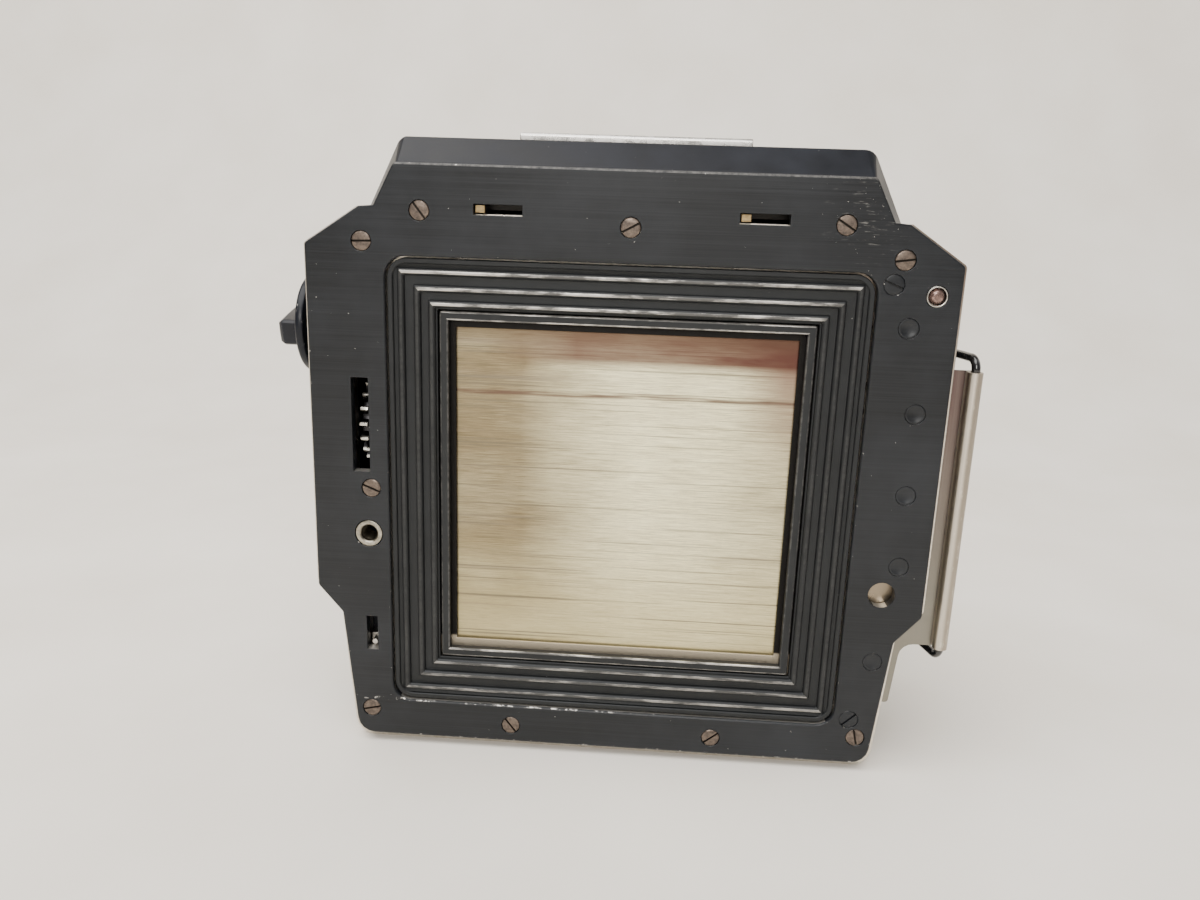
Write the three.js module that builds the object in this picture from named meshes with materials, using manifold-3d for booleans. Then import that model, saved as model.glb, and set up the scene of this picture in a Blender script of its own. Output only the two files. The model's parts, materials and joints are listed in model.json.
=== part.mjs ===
// Roll-film magazine for a 6x6 cm reflex camera, with its dark slide in place.
// Units are millimetres. Pieces are drawn in the plate frame: x to the right, y up, z out of the
// mating face, with the origin at the centre of the square light opening on that face.
// The last group turns the plate frame so that the mating face looks along -Y and +Z is up.
// The finished origin is the middle of the flange's bottom edge, which the magazine stands on.

import * as THREE from 'three';
import { mergeVertices } from 'three/addons/utils/BufferGeometryUtils.js';
import Module from 'manifold-3d';

const wasm = await Module();
wasm.setup();

// ---------------------------------------------------------------- driving dimensions

const APERTURE_HALF = 28.5;
const REST_EDGE = -46.9;
const REST_EDGE_DEPTH = 3.5;
const PLATE_BACK = -2.0;
const BAFFLE_HALF = 38.1;
const BAFFLE_FLOOR = -1.1;
const BAFFLE_CREST = -0.35;
const FRAME_HALF = 29.95;
const LIP_HALF_X = 27.63;
const LIP_HALF_Y = 27.3;
const FLANGE_FRONT = -2.15;
const FLANGE_BACK = -4.9;
const SLIDE_FRONT = -3.6;
const SLIDE_BACK = -4.05;
const SLIDE_HALF_HEIGHT = 35.2;
const TUBE_X = 55.4;
const TUBE_Z = -2.65;
const TUBE_RADIUS = 1.2;
const WIRE_RADIUS = 0.71;
const BODY_FRONT = -5.2;
const WALL = 1.6;
const PARTING = -26.0;
const BODY_BACK = -40.0;
const SPOOL_Y = 24.8;
const SPOOL_Z = -20.7;
const SPOOL_RADIUS = 12.0;
const SHAFT_RADIUS = 1.95;
const GEAR_MODULE = 0.75;
const DRIVE_TEETH = 18;
const WIND_TEETH = 32;
const GEAR_FACES = [-43.2, -41.9];
const GEAR_BACKLASH_GAP = 0.25;
const GEAR_LINE = 48 * Math.PI / 180;
const GRIP_LEAN = 13 * Math.PI / 180;
const DIAL_AXIS = [-4.5, -17.0];
const COUNTER_WINDOW = [-8.2, -17.0];
const ROLLER_Y = 33.4;
const ROLLER_Z = -7.9;
const HINGE_Y = REST_EDGE + 1.5;
const HINGE_Z = -26.1;
const HINGE_RADIUS = 1.5;
const BUSH = { x: -42.0, y: -7.8 };
const PIN = { x: 47.35, y: 35.25 };
const ROUND_HOLE = { x: 44.05, y: -13.9, radius: 2.2 };
const GEAR_WINDOW = { x: [-44.3, -41.5], y: [3.0, 18.8] };
const SMALL_SLOT = { x: [-42.8, -40.9], y: [-29.1, -22.9] };
const LATCH_SLOT = { x: [16.65, 24.25], y: [45.0, 46.65] };

// ---------------------------------------------------------------- solid modelling helpers

function toSolid(geometry) {
  const loose = geometry.index ? geometry.toNonIndexed() : geometry.clone();
  loose.deleteAttribute('normal');
  loose.deleteAttribute('uv');
  const merged = mergeVertices(loose, 1e-4);
  const corners = [];
  const index = merged.index.array;
  for (let i = 0; i < index.length; i += 3) {
    const [a, b, c] = [index[i], index[i + 1], index[i + 2]];
    if (a !== b && b !== c && c !== a) corners.push(a, b, c);
  }
  return new wasm.Manifold(new wasm.Mesh({
    numProp: 3,
    vertProperties: new Float32Array(merged.attributes.position.array),
    triVerts: new Uint32Array(corners),
  }));
}

function toGeometry(solid) {
  const mesh = solid.getMesh();
  const geometry = new THREE.BufferGeometry();
  geometry.setAttribute('position', new THREE.BufferAttribute(mesh.vertProperties, 3));
  geometry.setIndex(new THREE.BufferAttribute(mesh.triVerts, 1));
  geometry.computeVertexNormals();
  return geometry;
}

function join(...parts) {
  return toGeometry(parts.map(toSolid).reduce((sum, part) => sum.add(part)));
}

function cut(base, ...tools) {
  const rest = tools.map(toSolid).reduce((solid, tool) => solid.subtract(tool), toSolid(base));
  return toGeometry(rest);
}

function block([x0, x1], [y0, y1], [z0, z1]) {
  const geometry = new THREE.BoxGeometry(x1 - x0, y1 - y0, z1 - z0);
  return geometry.translate((x0 + x1) / 2, (y0 + y1) / 2, (z0 + z1) / 2);
}

// An outline's points are [x, y] or [x, y, radius], in order round the shape.
function outline(points, steps = 4) {
  const path = [];
  points.forEach(([x, y, radius = 0], i) => {
    const here = new THREE.Vector2(x, y);
    if (radius === 0) {
      path.push(here);
      return;
    }
    const before = new THREE.Vector2(...points.at(i - 1)).sub(here).normalize();
    const after = new THREE.Vector2(...points[(i + 1) % points.length]).sub(here).normalize();
    const half = Math.acos(before.dot(after)) / 2;
    const middle = before.clone().add(after).normalize();
    const centre = here.clone().addScaledVector(middle, radius / Math.sin(half));
    const start = before.multiplyScalar(radius / Math.tan(half)).add(here).sub(centre);
    const end = after.multiplyScalar(radius / Math.tan(half)).add(here).sub(centre);
    const sweep = Math.atan2(start.cross(end), start.dot(end));
    for (let k = 0; k <= steps; k += 1) {
      path.push(start.clone().rotateAround(new THREE.Vector2(), sweep * k / steps).add(centre));
    }
  });
  return new THREE.Shape(path);
}

function mirrored(rightHalf) {
  const leftHalf = rightHalf.map(([x, y, radius]) => [-x, y, radius]).reverse();
  return [...rightHalf, ...leftHalf];
}

function rectangle(halfX, halfY, radius = 0) {
  return mirrored([[halfX, halfY, radius], [halfX, -halfY, radius]]);
}

function prism(points, [z0, z1], steps = 4) {
  const shape = points instanceof THREE.Shape ? points : outline(points, steps);
  const geometry = new THREE.ExtrudeGeometry(shape, { depth: z1 - z0, bevelEnabled: false });
  return geometry.translate(0, 0, z0);
}

// A round bar along an axis. centre holds the other two coordinates, in x, y, z order.
function rod(axis, centre, radius, [from, to], sides = 20) {
  const geometry = new THREE.CylinderGeometry(radius, radius, to - from, sides);
  const middle = (from + to) / 2;
  if (axis === 'x') return geometry.rotateZ(-Math.PI / 2).translate(middle, centre[0], centre[1]);
  if (axis === 'y') return geometry.translate(centre[0], middle, centre[1]);
  return geometry.rotateX(Math.PI / 2).translate(centre[0], centre[1], middle);
}

// A turned piece on an x axis through [y, z]. The profile's points are [radius, x].
function turned(profile, [y, z], sides = 32) {
  const points = profile.map(([radius, x]) => new THREE.Vector2(radius, x));
  return new THREE.LatheGeometry(points, sides).rotateZ(-Math.PI / 2).translate(0, y, z);
}

function squareFrustum(backHalf, frontHalf, [z0, z1]) {
  const geometry = new THREE.CylinderGeometry(
    frontHalf * Math.SQRT2, backHalf * Math.SQRT2, z1 - z0, 4);
  return geometry.rotateY(Math.PI / 4).rotateX(Math.PI / 2).translate(0, 0, (z0 + z1) / 2);
}

// A solid whose flat sections, all with the same number of corners, are joined from back to front.
function loft(sections) {
  const rings = sections.map(({ points, z }) => {
    const flat = outline(points).getPoints().slice(0, -1);
    if (THREE.ShapeUtils.isClockWise(flat)) flat.reverse();
    return { flat, z };
  });
  const count = rings[0].flat.length;
  const positions = rings.flatMap(({ flat, z }) => flat.flatMap(({ x, y }) => [x, y, z]));
  const index = [];
  for (let s = 0; s + 1 < rings.length; s += 1) {
    for (let i = 0; i < count; i += 1) {
      const here = s * count + i;
      const next = s * count + (i + 1) % count;
      index.push(here, next, next + count, here, next + count, here + count);
    }
  }
  const front = (rings.length - 1) * count;
  THREE.ShapeUtils.triangulateShape(rings[0].flat, []).forEach(([i, j, k]) => {
    index.push(k, j, i);
    index.push(front + i, front + j, front + k);
  });
  const geometry = new THREE.BufferGeometry();
  geometry.setAttribute('position', new THREE.Float32BufferAttribute(positions, 3));
  geometry.setIndex(index);
  return geometry;
}

// A shape drawn in depth (backwards from the mating face) and height, made x0 to x1 wide.
function sideways(points, [x0, x1]) {
  return prism(points, [x0, x1]).rotateY(Math.PI / 2);
}

// A spur gear on an x axis with straight-sided teeth. A tooth points along the angle toothAt,
// measured from straight back towards straight up.
function spurGear(teeth, [y, z], faces, toothAt) {
  const pitchRadius = teeth * GEAR_MODULE / 2;
  const tip = pitchRadius + GEAR_MODULE;
  const root = pitchRadius - 1.2 * GEAR_MODULE;
  const step = 2 * Math.PI / teeth;
  const flank = [[root, -0.3], [tip, -0.09], [tip, 0.09], [root, 0.3]];
  const points = [];
  for (let i = 0; i < teeth; i += 1) {
    flank.forEach(([radius, share]) => {
      const angle = toothAt + (i + share) * step;
      points.push([radius * Math.cos(angle), radius * Math.sin(angle)]);
    });
  }
  return sideways(points, faces).translate(0, y, z);
}

function roundWire(points, radius, steps, sides) {
  const path = new THREE.CatmullRomCurve3(points, false, 'centripetal');
  const section = new THREE.Shape();
  for (let i = 0; i < sides; i += 1) {
    const angle = 2 * Math.PI * i / sides;
    const corner = [radius * Math.cos(angle), radius * Math.sin(angle)];
    if (i === 0) section.moveTo(...corner);
    else section.lineTo(...corner);
  }
  section.closePath();
  return new THREE.ExtrudeGeometry(section, { steps, extrudePath: path, bevelEnabled: false });
}

// ---------------------------------------------------------------- finishes

const FINISHES = {
  blackBrushed: { color: 0x2c2d2f, roughness: 0.45, metalness: 0.4 },
  blackMatte: { color: 0x1c1c1d, roughness: 0.8, metalness: 0.1 },
  blackSatin: { color: 0x23252c, roughness: 0.4, metalness: 0.3 },
  blackGloss: { color: 0x111213, roughness: 0.2, metalness: 0.2 },
  satinSilver: { color: 0xb9b0a2, roughness: 0.35, metalness: 0.9 },
  brightRim: { color: 0xc8c2b6, roughness: 0.3, metalness: 0.9 },
  chrome: { color: 0xd8d8d8, roughness: 0.12, metalness: 1.0 },
  steel: { color: 0xa8a8a6, roughness: 0.35, metalness: 0.9 },
  tarnishedSteel: { color: 0x6a5a4a, roughness: 0.5, metalness: 0.8 },
  brass: { color: 0x9a7a44, roughness: 0.4, metalness: 0.9 },
  copperySteel: { color: 0x9c7460, roughness: 0.35, metalness: 0.8 },
  blackPlastic: { color: 0x18181a, roughness: 0.5, metalness: 0.0 },
  felt: { color: 0x101010, roughness: 1.0, metalness: 0.0 },
  leatherette: { color: 0x17171a, roughness: 0.75, metalness: 0.0 },
  clear: { color: 0xd0d8dc, roughness: 0.05, metalness: 0.0 },
};

const magazine = new THREE.Group();
magazine.rotation.x = Math.PI / 2;
magazine.position.set(0, -REST_EDGE_DEPTH, -REST_EDGE);

function piece(name, finish, geometry) {
  const mesh = new THREE.Mesh(geometry, new THREE.MeshStandardMaterial(FINISHES[finish]));
  mesh.name = name;
  magazine.add(mesh);
}

// ---------------------------------------------------------------- outlines shared by pieces

const PLATE_OUTLINE = mirrored([
  [36.7, 52.5, 0.8], [40.0, 46.0], [42.3, 45.8], [51.1, 39.9, 0.8],
  [51.1, -17.6, 1.0], [47.0, -22.4, 1.0], [44.65, -45.3, 3.0],
]);

const FLANGE_OUTLINE = mirrored([
  [42.0, 45.2], [43.0, 45.9], [51.95, 39.9, 0.8],
  [51.95, -17.5, 1.0], [47.8, -22.4, 1.0], [45.6, REST_EDGE, 3.4],
]);

// The body's right side. It stands in from the plate by about the same amount all round.
function bodySide(inset) {
  return [
    [47.0 - inset, 38.5 - 0.35 * inset], [47.0 - inset, -15.5 + 0.3 * inset],
    [44.3 - inset, -20.5 + 0.2 * inset], [42.7 - inset, -43.5 + inset, 2.0],
  ];
}

const HUMP_TOP = 56.8;
const HUMP_FOOT = 45.7;

// ---------------------------------------------------------------- fasteners of the front plate

const SCREW_HEAD = 1.55;
const HEAD_DEPTH = 1.0;
const SHANK_RADIUS = 0.75;

const BARE_SCREWS = [
  { x: -32.75, y: 45.4, turn: -50, length: 4.2 }, { x: 32.75, y: 45.4, turn: -30, length: 4.2 },
  { x: -42.0, y: 40.5, turn: 5, length: 4.6 }, { x: 42.0, y: 40.5, turn: 10, length: 4.6 },
  { x: 0.1, y: 43.9, turn: 30, length: 4.6 }, { x: -41.4, y: 0.2, turn: -20, length: 4.6 },
  { x: -17.55, y: -42.2, turn: -50, length: 4.6 }, { x: 17.55, y: -42.2, turn: 40, length: 4.6 },
  { x: -42.3, y: -40.4, turn: 15, length: 4.6 }, { x: 42.3, y: -40.4, turn: -75, length: 4.6 },
];

const PAINTED_SCREWS = [
  { x: 40.7, y: 36.8, turn: -20, length: 4.6 }, { x: 40.9, y: -37.0, turn: 45, length: 4.6 },
  { x: 43.6, y: 30.2, turn: null, length: 3.1 }, { x: 46.1, y: 16.8, turn: null, length: 3.1 },
  { x: 46.1, y: 3.4, turn: null, length: 3.1 }, { x: 46.3, y: -8.8, turn: null, length: 3.1 },
  { x: 43.8, y: -26.0, turn: null, length: 3.1 },
];

function screw({ x, y, turn, length }) {
  const head = rod('z', [x, y], SCREW_HEAD, [-HEAD_DEPTH, -0.05], 12);
  const shank = rod('z', [x, y], SHANK_RADIUS, [-length, -HEAD_DEPTH + 0.2], 6);
  const body = join(head, shank);
  if (turn === null) return body;
  const slot = new THREE.BoxGeometry(4, 0.45, 1).rotateZ(turn * Math.PI / 180).translate(x, y, 0);
  return cut(body, slot);
}

const screwPockets = [...BARE_SCREWS, ...PAINTED_SCREWS].flatMap(({ x, y }) => [
  rod('z', [x, y], SCREW_HEAD + 0.1, [-HEAD_DEPTH - 0.1, 1], 12),
  rod('z', [x, y], SHANK_RADIUS + 0.1, [-6, 0], 6),
]);

const shankHoles = [...BARE_SCREWS, ...PAINTED_SCREWS].map(
  ({ x, y, length }) => rod('z', [x, y], SHANK_RADIUS + 0.1, [-length - 0.3, 0], 6));

// ---------------------------------------------------------------- mating face

function frontPlate() {
  const slots = [-1, 1].map((side) => {
    const [near, far] = LATCH_SLOT.x;
    return block(side > 0 ? [near, far] : [-far, -near], LATCH_SLOT.y, [-5, 1]);
  });
  return cut(
    prism(PLATE_OUTLINE, [PLATE_BACK, 0]),
    prism(rectangle(BAFFLE_HALF + 0.3, BAFFLE_HALF + 0.3, 3.2), [-5, 1], 5),
    ...slots,
    block(GEAR_WINDOW.x, GEAR_WINDOW.y, [-5, 1]),
    block(SMALL_SLOT.x, SMALL_SLOT.y, [-5, 1]),
    rod('z', [BUSH.x, BUSH.y], 2.4, [-5, 1], 24),
    rod('z', [PIN.x, PIN.y], 1.7, [-5, 1], 20),
    rod('z', [ROUND_HOLE.x, ROUND_HOLE.y], ROUND_HOLE.radius, [-5, 1], 24),
    ...screwPockets,
  );
}

function baffleRib(middle) {
  return cut(
    squareFrustum(middle + 0.75, middle + 0.3, [BAFFLE_FLOOR - 0.2, BAFFLE_CREST]),
    squareFrustum(middle - 0.75, middle - 0.3, [BAFFLE_FLOOR - 0.3, BAFFLE_CREST + 0.01]),
  );
}

function lightBaffle() {
  const floor = cut(
    prism(rectangle(BAFFLE_HALF, BAFFLE_HALF, 3.0), [-1.9, BAFFLE_FLOOR], 5),
    block([-30.2, 30.2], [-30.2, 30.2], [-3, 0]),
  );
  const border = cut(
    prism(rectangle(BAFFLE_HALF, BAFFLE_HALF, 3.0), [BAFFLE_FLOOR - 0.2, -0.5], 5),
    prism(rectangle(37.3, 37.3, 2.2), [-3, 0], 5),
  );
  return join(floor, border, baffleRib(36.0), baffleRib(33.4), baffleRib(31.05));
}

function squareRing(outerHalf, [innerX, innerY], [z0, z1]) {
  return cut(
    prism(rectangle(outerHalf, outerHalf, 0.4), [z0, z1], 2),
    block([-innerX, innerX], [-innerY, innerY], [z0 - 1, z1 + 1]),
  );
}

function mountFlange() {
  return cut(
    prism(FLANGE_OUTLINE, [FLANGE_BACK, FLANGE_FRONT]),
    block([-35.2, 35.2], [-35.6, 35.6], [-6, 0]),
    block([30, 60], [-35.6, 35.6], [-4.4, -3.3]),
    block([36.1, 41.3], [-34.3, 34.3], [-6, -4]),
    block([-44.7, -41.1], [1.8, 19.8], [-6, 0]),
    block([-43.1, -40.6], [-29.6, -22.4], [-6, 0]),
    rod('z', [BUSH.x, BUSH.y], 2.1, [-6, 0], 20),
    rod('z', [PIN.x, PIN.y], 1.35, [-6, 0], 16),
    ...shankHoles,
  );
}

function threadedBush() {
  const head = rod('z', [BUSH.x, BUSH.y], 2.3, [-1.0, -0.05], 28);
  const barrel = rod('z', [BUSH.x, BUSH.y], 2.0, [-4.8, -0.8], 28);
  return cut(join(head, barrel), rod('z', [BUSH.x, BUSH.y], 1.28, [-5, 1], 20));
}

function pinBush() {
  return cut(
    rod('z', [PIN.x, PIN.y], 1.62, [-1.9, 0], 24),
    rod('z', [PIN.x, PIN.y], 1.32, [-3, 1], 20),
  );
}

function interlockPin() {
  const profile = [[0, -2.45], [1.25, -2.45], [1.25, -0.15], [0.95, 0.12], [0.5, 0.27], [0, 0.32]];
  const points = profile.map(([radius, z]) => new THREE.Vector2(radius, z));
  return new THREE.LatheGeometry(points, 20).rotateX(Math.PI / 2).translate(PIN.x, PIN.y, 0);
}

function resetPin() {
  const slider = block([-42.7, -41.0], [-28.9, -27.1], [-4.7, -2.6]);
  return join(slider, rod('z', [-41.7, -28.0], 0.5, [-3.0, -0.9], 12));
}

// ---------------------------------------------------------------- dark slide

function darkSlide() {
  const blade = prism([
    [-33.0, SLIDE_HALF_HEIGHT, 2.5], [45.3, SLIDE_HALF_HEIGHT], [49.0, 31.5],
    [49.0, 23.6, 1.8], [TUBE_X, 23.6],
    [TUBE_X, -24.0], [49.2, -24.0, 2.4],
    [48.1, -SLIDE_HALF_HEIGHT, 0.6], [-33.0, -SLIDE_HALF_HEIGHT, 2.5],
  ], [SLIDE_BACK, SLIDE_FRONT]);
  const tube = rod('y', [TUBE_X, TUBE_Z], TUBE_RADIUS, [-24.1, 23.6], 24);
  const bore = rod('y', [TUBE_X, TUBE_Z], 0.8, [-30, 30], 16);
  return cut(join(blade, tube), bore);
}

function slideBail() {
  const reach = 11.5;
  const bend = 1.7;
  const legHeight = 25.6;
  const back = new THREE.Vector3(-0.23, 0, -0.973).normalize();
  const hinge = new THREE.Vector3(TUBE_X, 0, TUBE_Z);
  const at = (away, y) => hinge.clone().addScaledVector(back, away).setY(y);
  const upper = [at(0, 17), at(0, 20)];
  for (let k = 0; k <= 4; k += 1) {
    const angle = k * Math.PI / 8;
    upper.push(at(bend * (1 - Math.cos(angle)), legHeight - bend + bend * Math.sin(angle)));
  }
  upper.push(at(reach / 2, legHeight));
  for (let k = 0; k <= 4; k += 1) {
    const angle = k * Math.PI / 8;
    upper.push(at(reach - bend + bend * Math.sin(angle), legHeight - bend + bend * Math.cos(angle)));
  }
  upper.push(at(reach, 9));
  const lower = upper.map((point) => point.clone().setY(-point.y)).reverse();
  return roundWire([...upper, ...lower], WIRE_RADIUS, 56, 8);
}

// ---------------------------------------------------------------- winding train

const gearSpacing = (DRIVE_TEETH + WIND_TEETH) * GEAR_MODULE / 2 + GEAR_BACKLASH_GAP;
const windingAxis = [SPOOL_Y, SPOOL_Z];
const driveAxis = [
  SPOOL_Y - gearSpacing * Math.sin(GEAR_LINE),
  SPOOL_Z + gearSpacing * Math.cos(GEAR_LINE),
];
// The angle from the winding gear's centre to the drive gear's, from straight back towards up.
const meshAngle = Math.PI + GEAR_LINE;

function windingKnob() {
  return turned([
    [0, -58.0], [8.2, -58.0], [8.7, -57.6], [8.7, -56.9], [8.3, -56.5], [0, -56.5],
  ], windingAxis, 40);
}

function knobGrip() {
  const quarterTurns = [[1, 1], [1, -1], [-1, -1], [-1, 1]];
  const corners = quarterTurns.flatMap(([depth, up]) => {
    const end = [5.8 * depth, 1.9 * up, 0.7];
    const waist = [2.2 * depth, 2.2 * up];
    return depth * up > 0 ? [waist, end] : [end, waist];
  });
  const bar = new THREE.ExtrudeGeometry(outline(corners, 3), {
    depth: 3.0, bevelEnabled: true, bevelThickness: 0.4, bevelSize: 0.4, bevelSegments: 2,
  });
  return bar.rotateZ(GRIP_LEAN).rotateY(Math.PI / 2).translate(-61.5, SPOOL_Y, SPOOL_Z);
}

function windingGear() {
  const gear = spurGear(WIND_TEETH, windingAxis, GEAR_FACES, meshAngle);
  const hub = rod('x', windingAxis, 4.2, [GEAR_FACES[0] - 1.4, GEAR_FACES[1]], 20);
  return cut(join(gear, hub), rod('x', windingAxis, SHAFT_RADIUS + 0.08, [-50, -38], 20));
}

function driveGear() {
  const halfTooth = Math.PI / DRIVE_TEETH;
  const gear = spurGear(DRIVE_TEETH, driveAxis, GEAR_FACES, meshAngle + Math.PI + halfTooth);
  return join(gear, rod('x', driveAxis, 1.15, [-44.6, -39.9], 12));
}

function filmSpool(y) {
  const centre = [y, SPOOL_Z];
  const core = rod('x', centre, 4.6, [-31.5, 31.5], 16);
  const flanges = [[-32.2, -31.0], [31.0, 32.2]].map((faces) => rod('x', centre, SPOOL_RADIUS, faces, 32));
  const bores = [[-33, -25], [25, 33]].map((reach) => rod('x', centre, 2.45, reach, 16));
  return cut(join(core, ...flanges), ...bores);
}

function counterDial() {
  const arbor = rod('x', DIAL_AXIS, 1.0, [-46.3, -39.9], 16);
  return join(rod('x', DIAL_AXIS, 6.0, [-46.9, -46.2], 32), arbor);
}

// ---------------------------------------------------------------- housing and covers

const KNUCKLES = {
  fixed: [[-31, -21], [-5, 5], [21, 31]],
  door: [[-20.7, -5.3], [5.3, 20.7]],
};

function knuckle([from, to]) {
  return rod('x', [HINGE_Y, HINGE_Z], HINGE_RADIUS, [from, to], 16);
}

function knuckleClearance([from, to]) {
  return rod('x', [HINGE_Y, HINGE_Z], HINGE_RADIUS + 0.35, [from - 0.15, to + 0.15], 16);
}

const hingeBore = rod('x', [HINGE_Y, HINGE_Z], 0.78, [-40, 40], 12);

function housing() {
  const outer = prism(mirrored([[42.1, 45.3], ...bodySide(0)]), [PARTING, BODY_FRONT]);
  const inner = prism(mirrored([[40.8, 43.7], ...bodySide(WALL)]), [PARTING - 1, BODY_FRONT - WALL]);
  const partition = block([-40.9, -39.7], [-42.2, 44.0], [PARTING + 0.1, BODY_FRONT - WALL + 0.2]);
  const feet = KNUCKLES.fixed.map(([from, to]) => join(
    knuckle([from, to]),
    block([from, to], [HINGE_Y, -42.6], [HINGE_Z + 0.5, HINGE_Z + 5]),
  ));
  return cut(
    join(cut(outer, inner), partition, ...feet),
    ...KNUCKLES.door.map(knuckleClearance),
    hingeBore,
    block([-38.5, 38.5], [-36.5, 36.5], [-8, 0]),
    block([-44.8, -41.1], [1.8, 19.8], [-7.5, 0]),
    block([-48, -45], [-13.5, 36.5], [-25, -7.6]),
    rod('x', windingAxis, SHAFT_RADIUS + 0.2, [-42, -39], 16),
    rod('x', driveAxis, 1.23, [-42, -39], 12),
    rod('x', DIAL_AXIS, 1.07, [-42, -39], 16),
    rod('x', [SPOOL_Y, SPOOL_Z], 1.65, [40, 50], 16),
    rod('x', [-SPOOL_Y, SPOOL_Z], 1.65, [40, 50], 16),
  );
}

function topCover() {
  const outer = loft([
    { points: mirrored([[37.1, HUMP_TOP, 2.0], [42.4, HUMP_FOOT]]), z: PARTING },
    { points: mirrored([[37.1, HUMP_TOP, 2.0], [42.4, HUMP_FOOT]]), z: -6.7 },
    { points: mirrored([[36.8, 52.6, 0.8], [40.4, HUMP_FOOT]]), z: -2.35 },
  ]);
  const inner = loft([
    { points: mirrored([[35.8, HUMP_TOP - 1.5, 1.0], [40.9, HUMP_FOOT - 1]]), z: PARTING - 1 },
    { points: mirrored([[35.8, HUMP_TOP - 1.5, 1.0], [40.9, HUMP_FOOT - 1]]), z: -7.6 },
    { points: mirrored([[35.3, 51.1, 0.4], [38.9, HUMP_FOOT - 1]]), z: -3.85 },
  ]);
  const latchViews = [-1, 1].map((side) => {
    const reach = [side * 15.5, side * 26.5].sort((a, b) => a - b);
    return block(reach, [HUMP_FOOT - 1, 48.3], [-5, 0]);
  });
  const latchOpening = block([-4.4, 9.6], [50, 60], [-18.4, -13.6]);
  return cut(outer, inner, latchOpening, ...latchViews, ...shankHoles.slice(0, 2));
}

function rearDoor() {
  const section = (inset) => mirrored([
    [37.1 - inset, HUMP_TOP - inset, 2.0], [42.4 - inset, HUMP_FOOT - 0.3 * inset], ...bodySide(inset),
  ]);
  const outer = loft([
    { points: section(2.4), z: BODY_BACK },
    { points: section(0.8), z: BODY_BACK + 0.5 },
    { points: section(0), z: BODY_BACK + 2.2 },
    { points: section(0), z: PARTING - 0.2 },
  ]);
  const inner = loft([
    { points: section(WALL), z: BODY_BACK + WALL + 0.2 },
    { points: section(WALL), z: PARTING },
  ]);
  const ears = KNUCKLES.door.map(([from, to]) => join(
    knuckle([from, to]),
    block([from, to], [HINGE_Y, -42.6], [HINGE_Z - 5, HINGE_Z - 0.5]),
  ));
  return cut(
    join(cut(outer, inner), ...ears),
    ...KNUCKLES.fixed.map(knuckleClearance),
    hingeBore,
  );
}

function sideCover() {
  const panel = [[5.8, 38.0, 1.5], [25.7, 38.0, 1.5], [25.7, -14.8, 1.5], [5.8, -14.8, 1.5]];
  return cut(
    sideways(panel, [-48.4, -47.15]),
    rod('x', windingAxis, SHAFT_RADIUS + 0.4, [-50, -46], 20),
    rod('x', COUNTER_WINDOW, 2.3, [-50, -46], 20),
  );
}

function windingCollar() {
  return turned([
    [2.6, -56.2], [6.4, -56.2], [6.7, -55.9], [6.7, -50.0], [7.6, -48.6], [2.6, -48.6], [2.6, -56.2],
  ], windingAxis, 28);
}

function latchBar() {
  const tongues = [-24.1, 16.9].map((x) => block([x, x + 1.5], [45.35, 46.5], [-5.6, -0.9]));
  return join(block([-28, 28], [45.8, 48.9], [-6.3, -5.3]), ...tongues);
}

function doorLatch() {
  const strip = [
    [12.2, 57.0], [12.2, 57.9], [12.6, 58.3], [20.1, 58.3], [20.5, 57.9], [20.5, 57.0],
  ];
  const plate = sideways(strip, [-18.9, 18.9]);
  const bevels = [-1, 1].map((side) => block([-2, 2], [-3, 3], [-25, -8])
    .rotateZ(side * Math.PI / 4).translate(side * 20.9, 59.5, 0));
  return join(
    cut(plate, ...bevels),
    block([-4, 4], [54.4, 57.2], [-18, -14]),
    block([-8, 8], [53.9, 54.9], [-25.7, -13.2]),
  );
}

function doorKeeper() {
  return join(
    block([-12, 12], [52.6, 53.6], [-31.0, -26.6]),
    block([-12, -9], [53.0, 55.1], [-31.0, -29.0]),
    block([9, 12], [53.0, 55.1], [-31.0, -29.0]),
  );
}

function doorLeatherette() {
  const panel = mirrored([
    [34.5, 53.0, 2.5], [39.6, 44.5], [43.4, 36.5], [43.4, -13.5], [41.2, -18.5], [39.4, -40.0, 2.5],
  ]);
  return prism(panel, [BODY_BACK - 0.6, BODY_BACK - 0.05], 4);
}

function sideLeatherette() {
  const panel = [[7.0, 37.0, 1.5], [24.6, 37.0, 1.5], [24.6, -14.0, 1.5], [7.0, -14.0, 1.5]];
  return cut(sideways(panel, [47.05, 47.6]), rod('x', windingAxis, 1.8, [40, 50], 16));
}

// ---------------------------------------------------------------- film insert

function filmInsertFrame() {
  const plates = [[-36.8, -35.6], [35.6, 36.8]].map((faces) => sideways([
    [7.2, 38.0, 2.0], [32.2, 38.0, 3.0], [32.2, -38.0, 3.0], [7.2, -38.0, 2.0],
  ], faces));
  const web = block([-36.0, 36.0], [-8.0, 8.0], [-14.6, -13.6]);
  const rollerHoles = [-1, 1].map((side) => {
    const centre = [side * ROLLER_Y, ROLLER_Z];
    return rod('x', centre, 0.67, [-40, 40], 10);
  });
  return cut(
    join(...plates, web),
    ...rollerHoles,
    rod('x', windingAxis, SHAFT_RADIUS + 0.2, [-40, -30], 16),
    rod('x', [-SPOOL_Y, SPOOL_Z], 1.55, [-40, -30], 16),
    rod('x', [SPOOL_Y, SPOOL_Z], 2.45, [30, 40], 16),
    rod('x', [-SPOOL_Y, SPOOL_Z], 2.45, [30, 40], 16),
  );
}

function filmGate() {
  const plate = prism(rectangle(38.2, 36.2, 1.0), [-6.4, -5.25], 2);
  const railEdges = [[-30.7, -28.7], [28.7, 30.7]];
  const rails = railEdges.map((edges) => block(edges, [-31, 31], [-6.65, -6.2]));
  return cut(join(plate, ...rails), block([-27.9, 27.9], [-27.9, 27.9], [-8, 0]));
}

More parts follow.
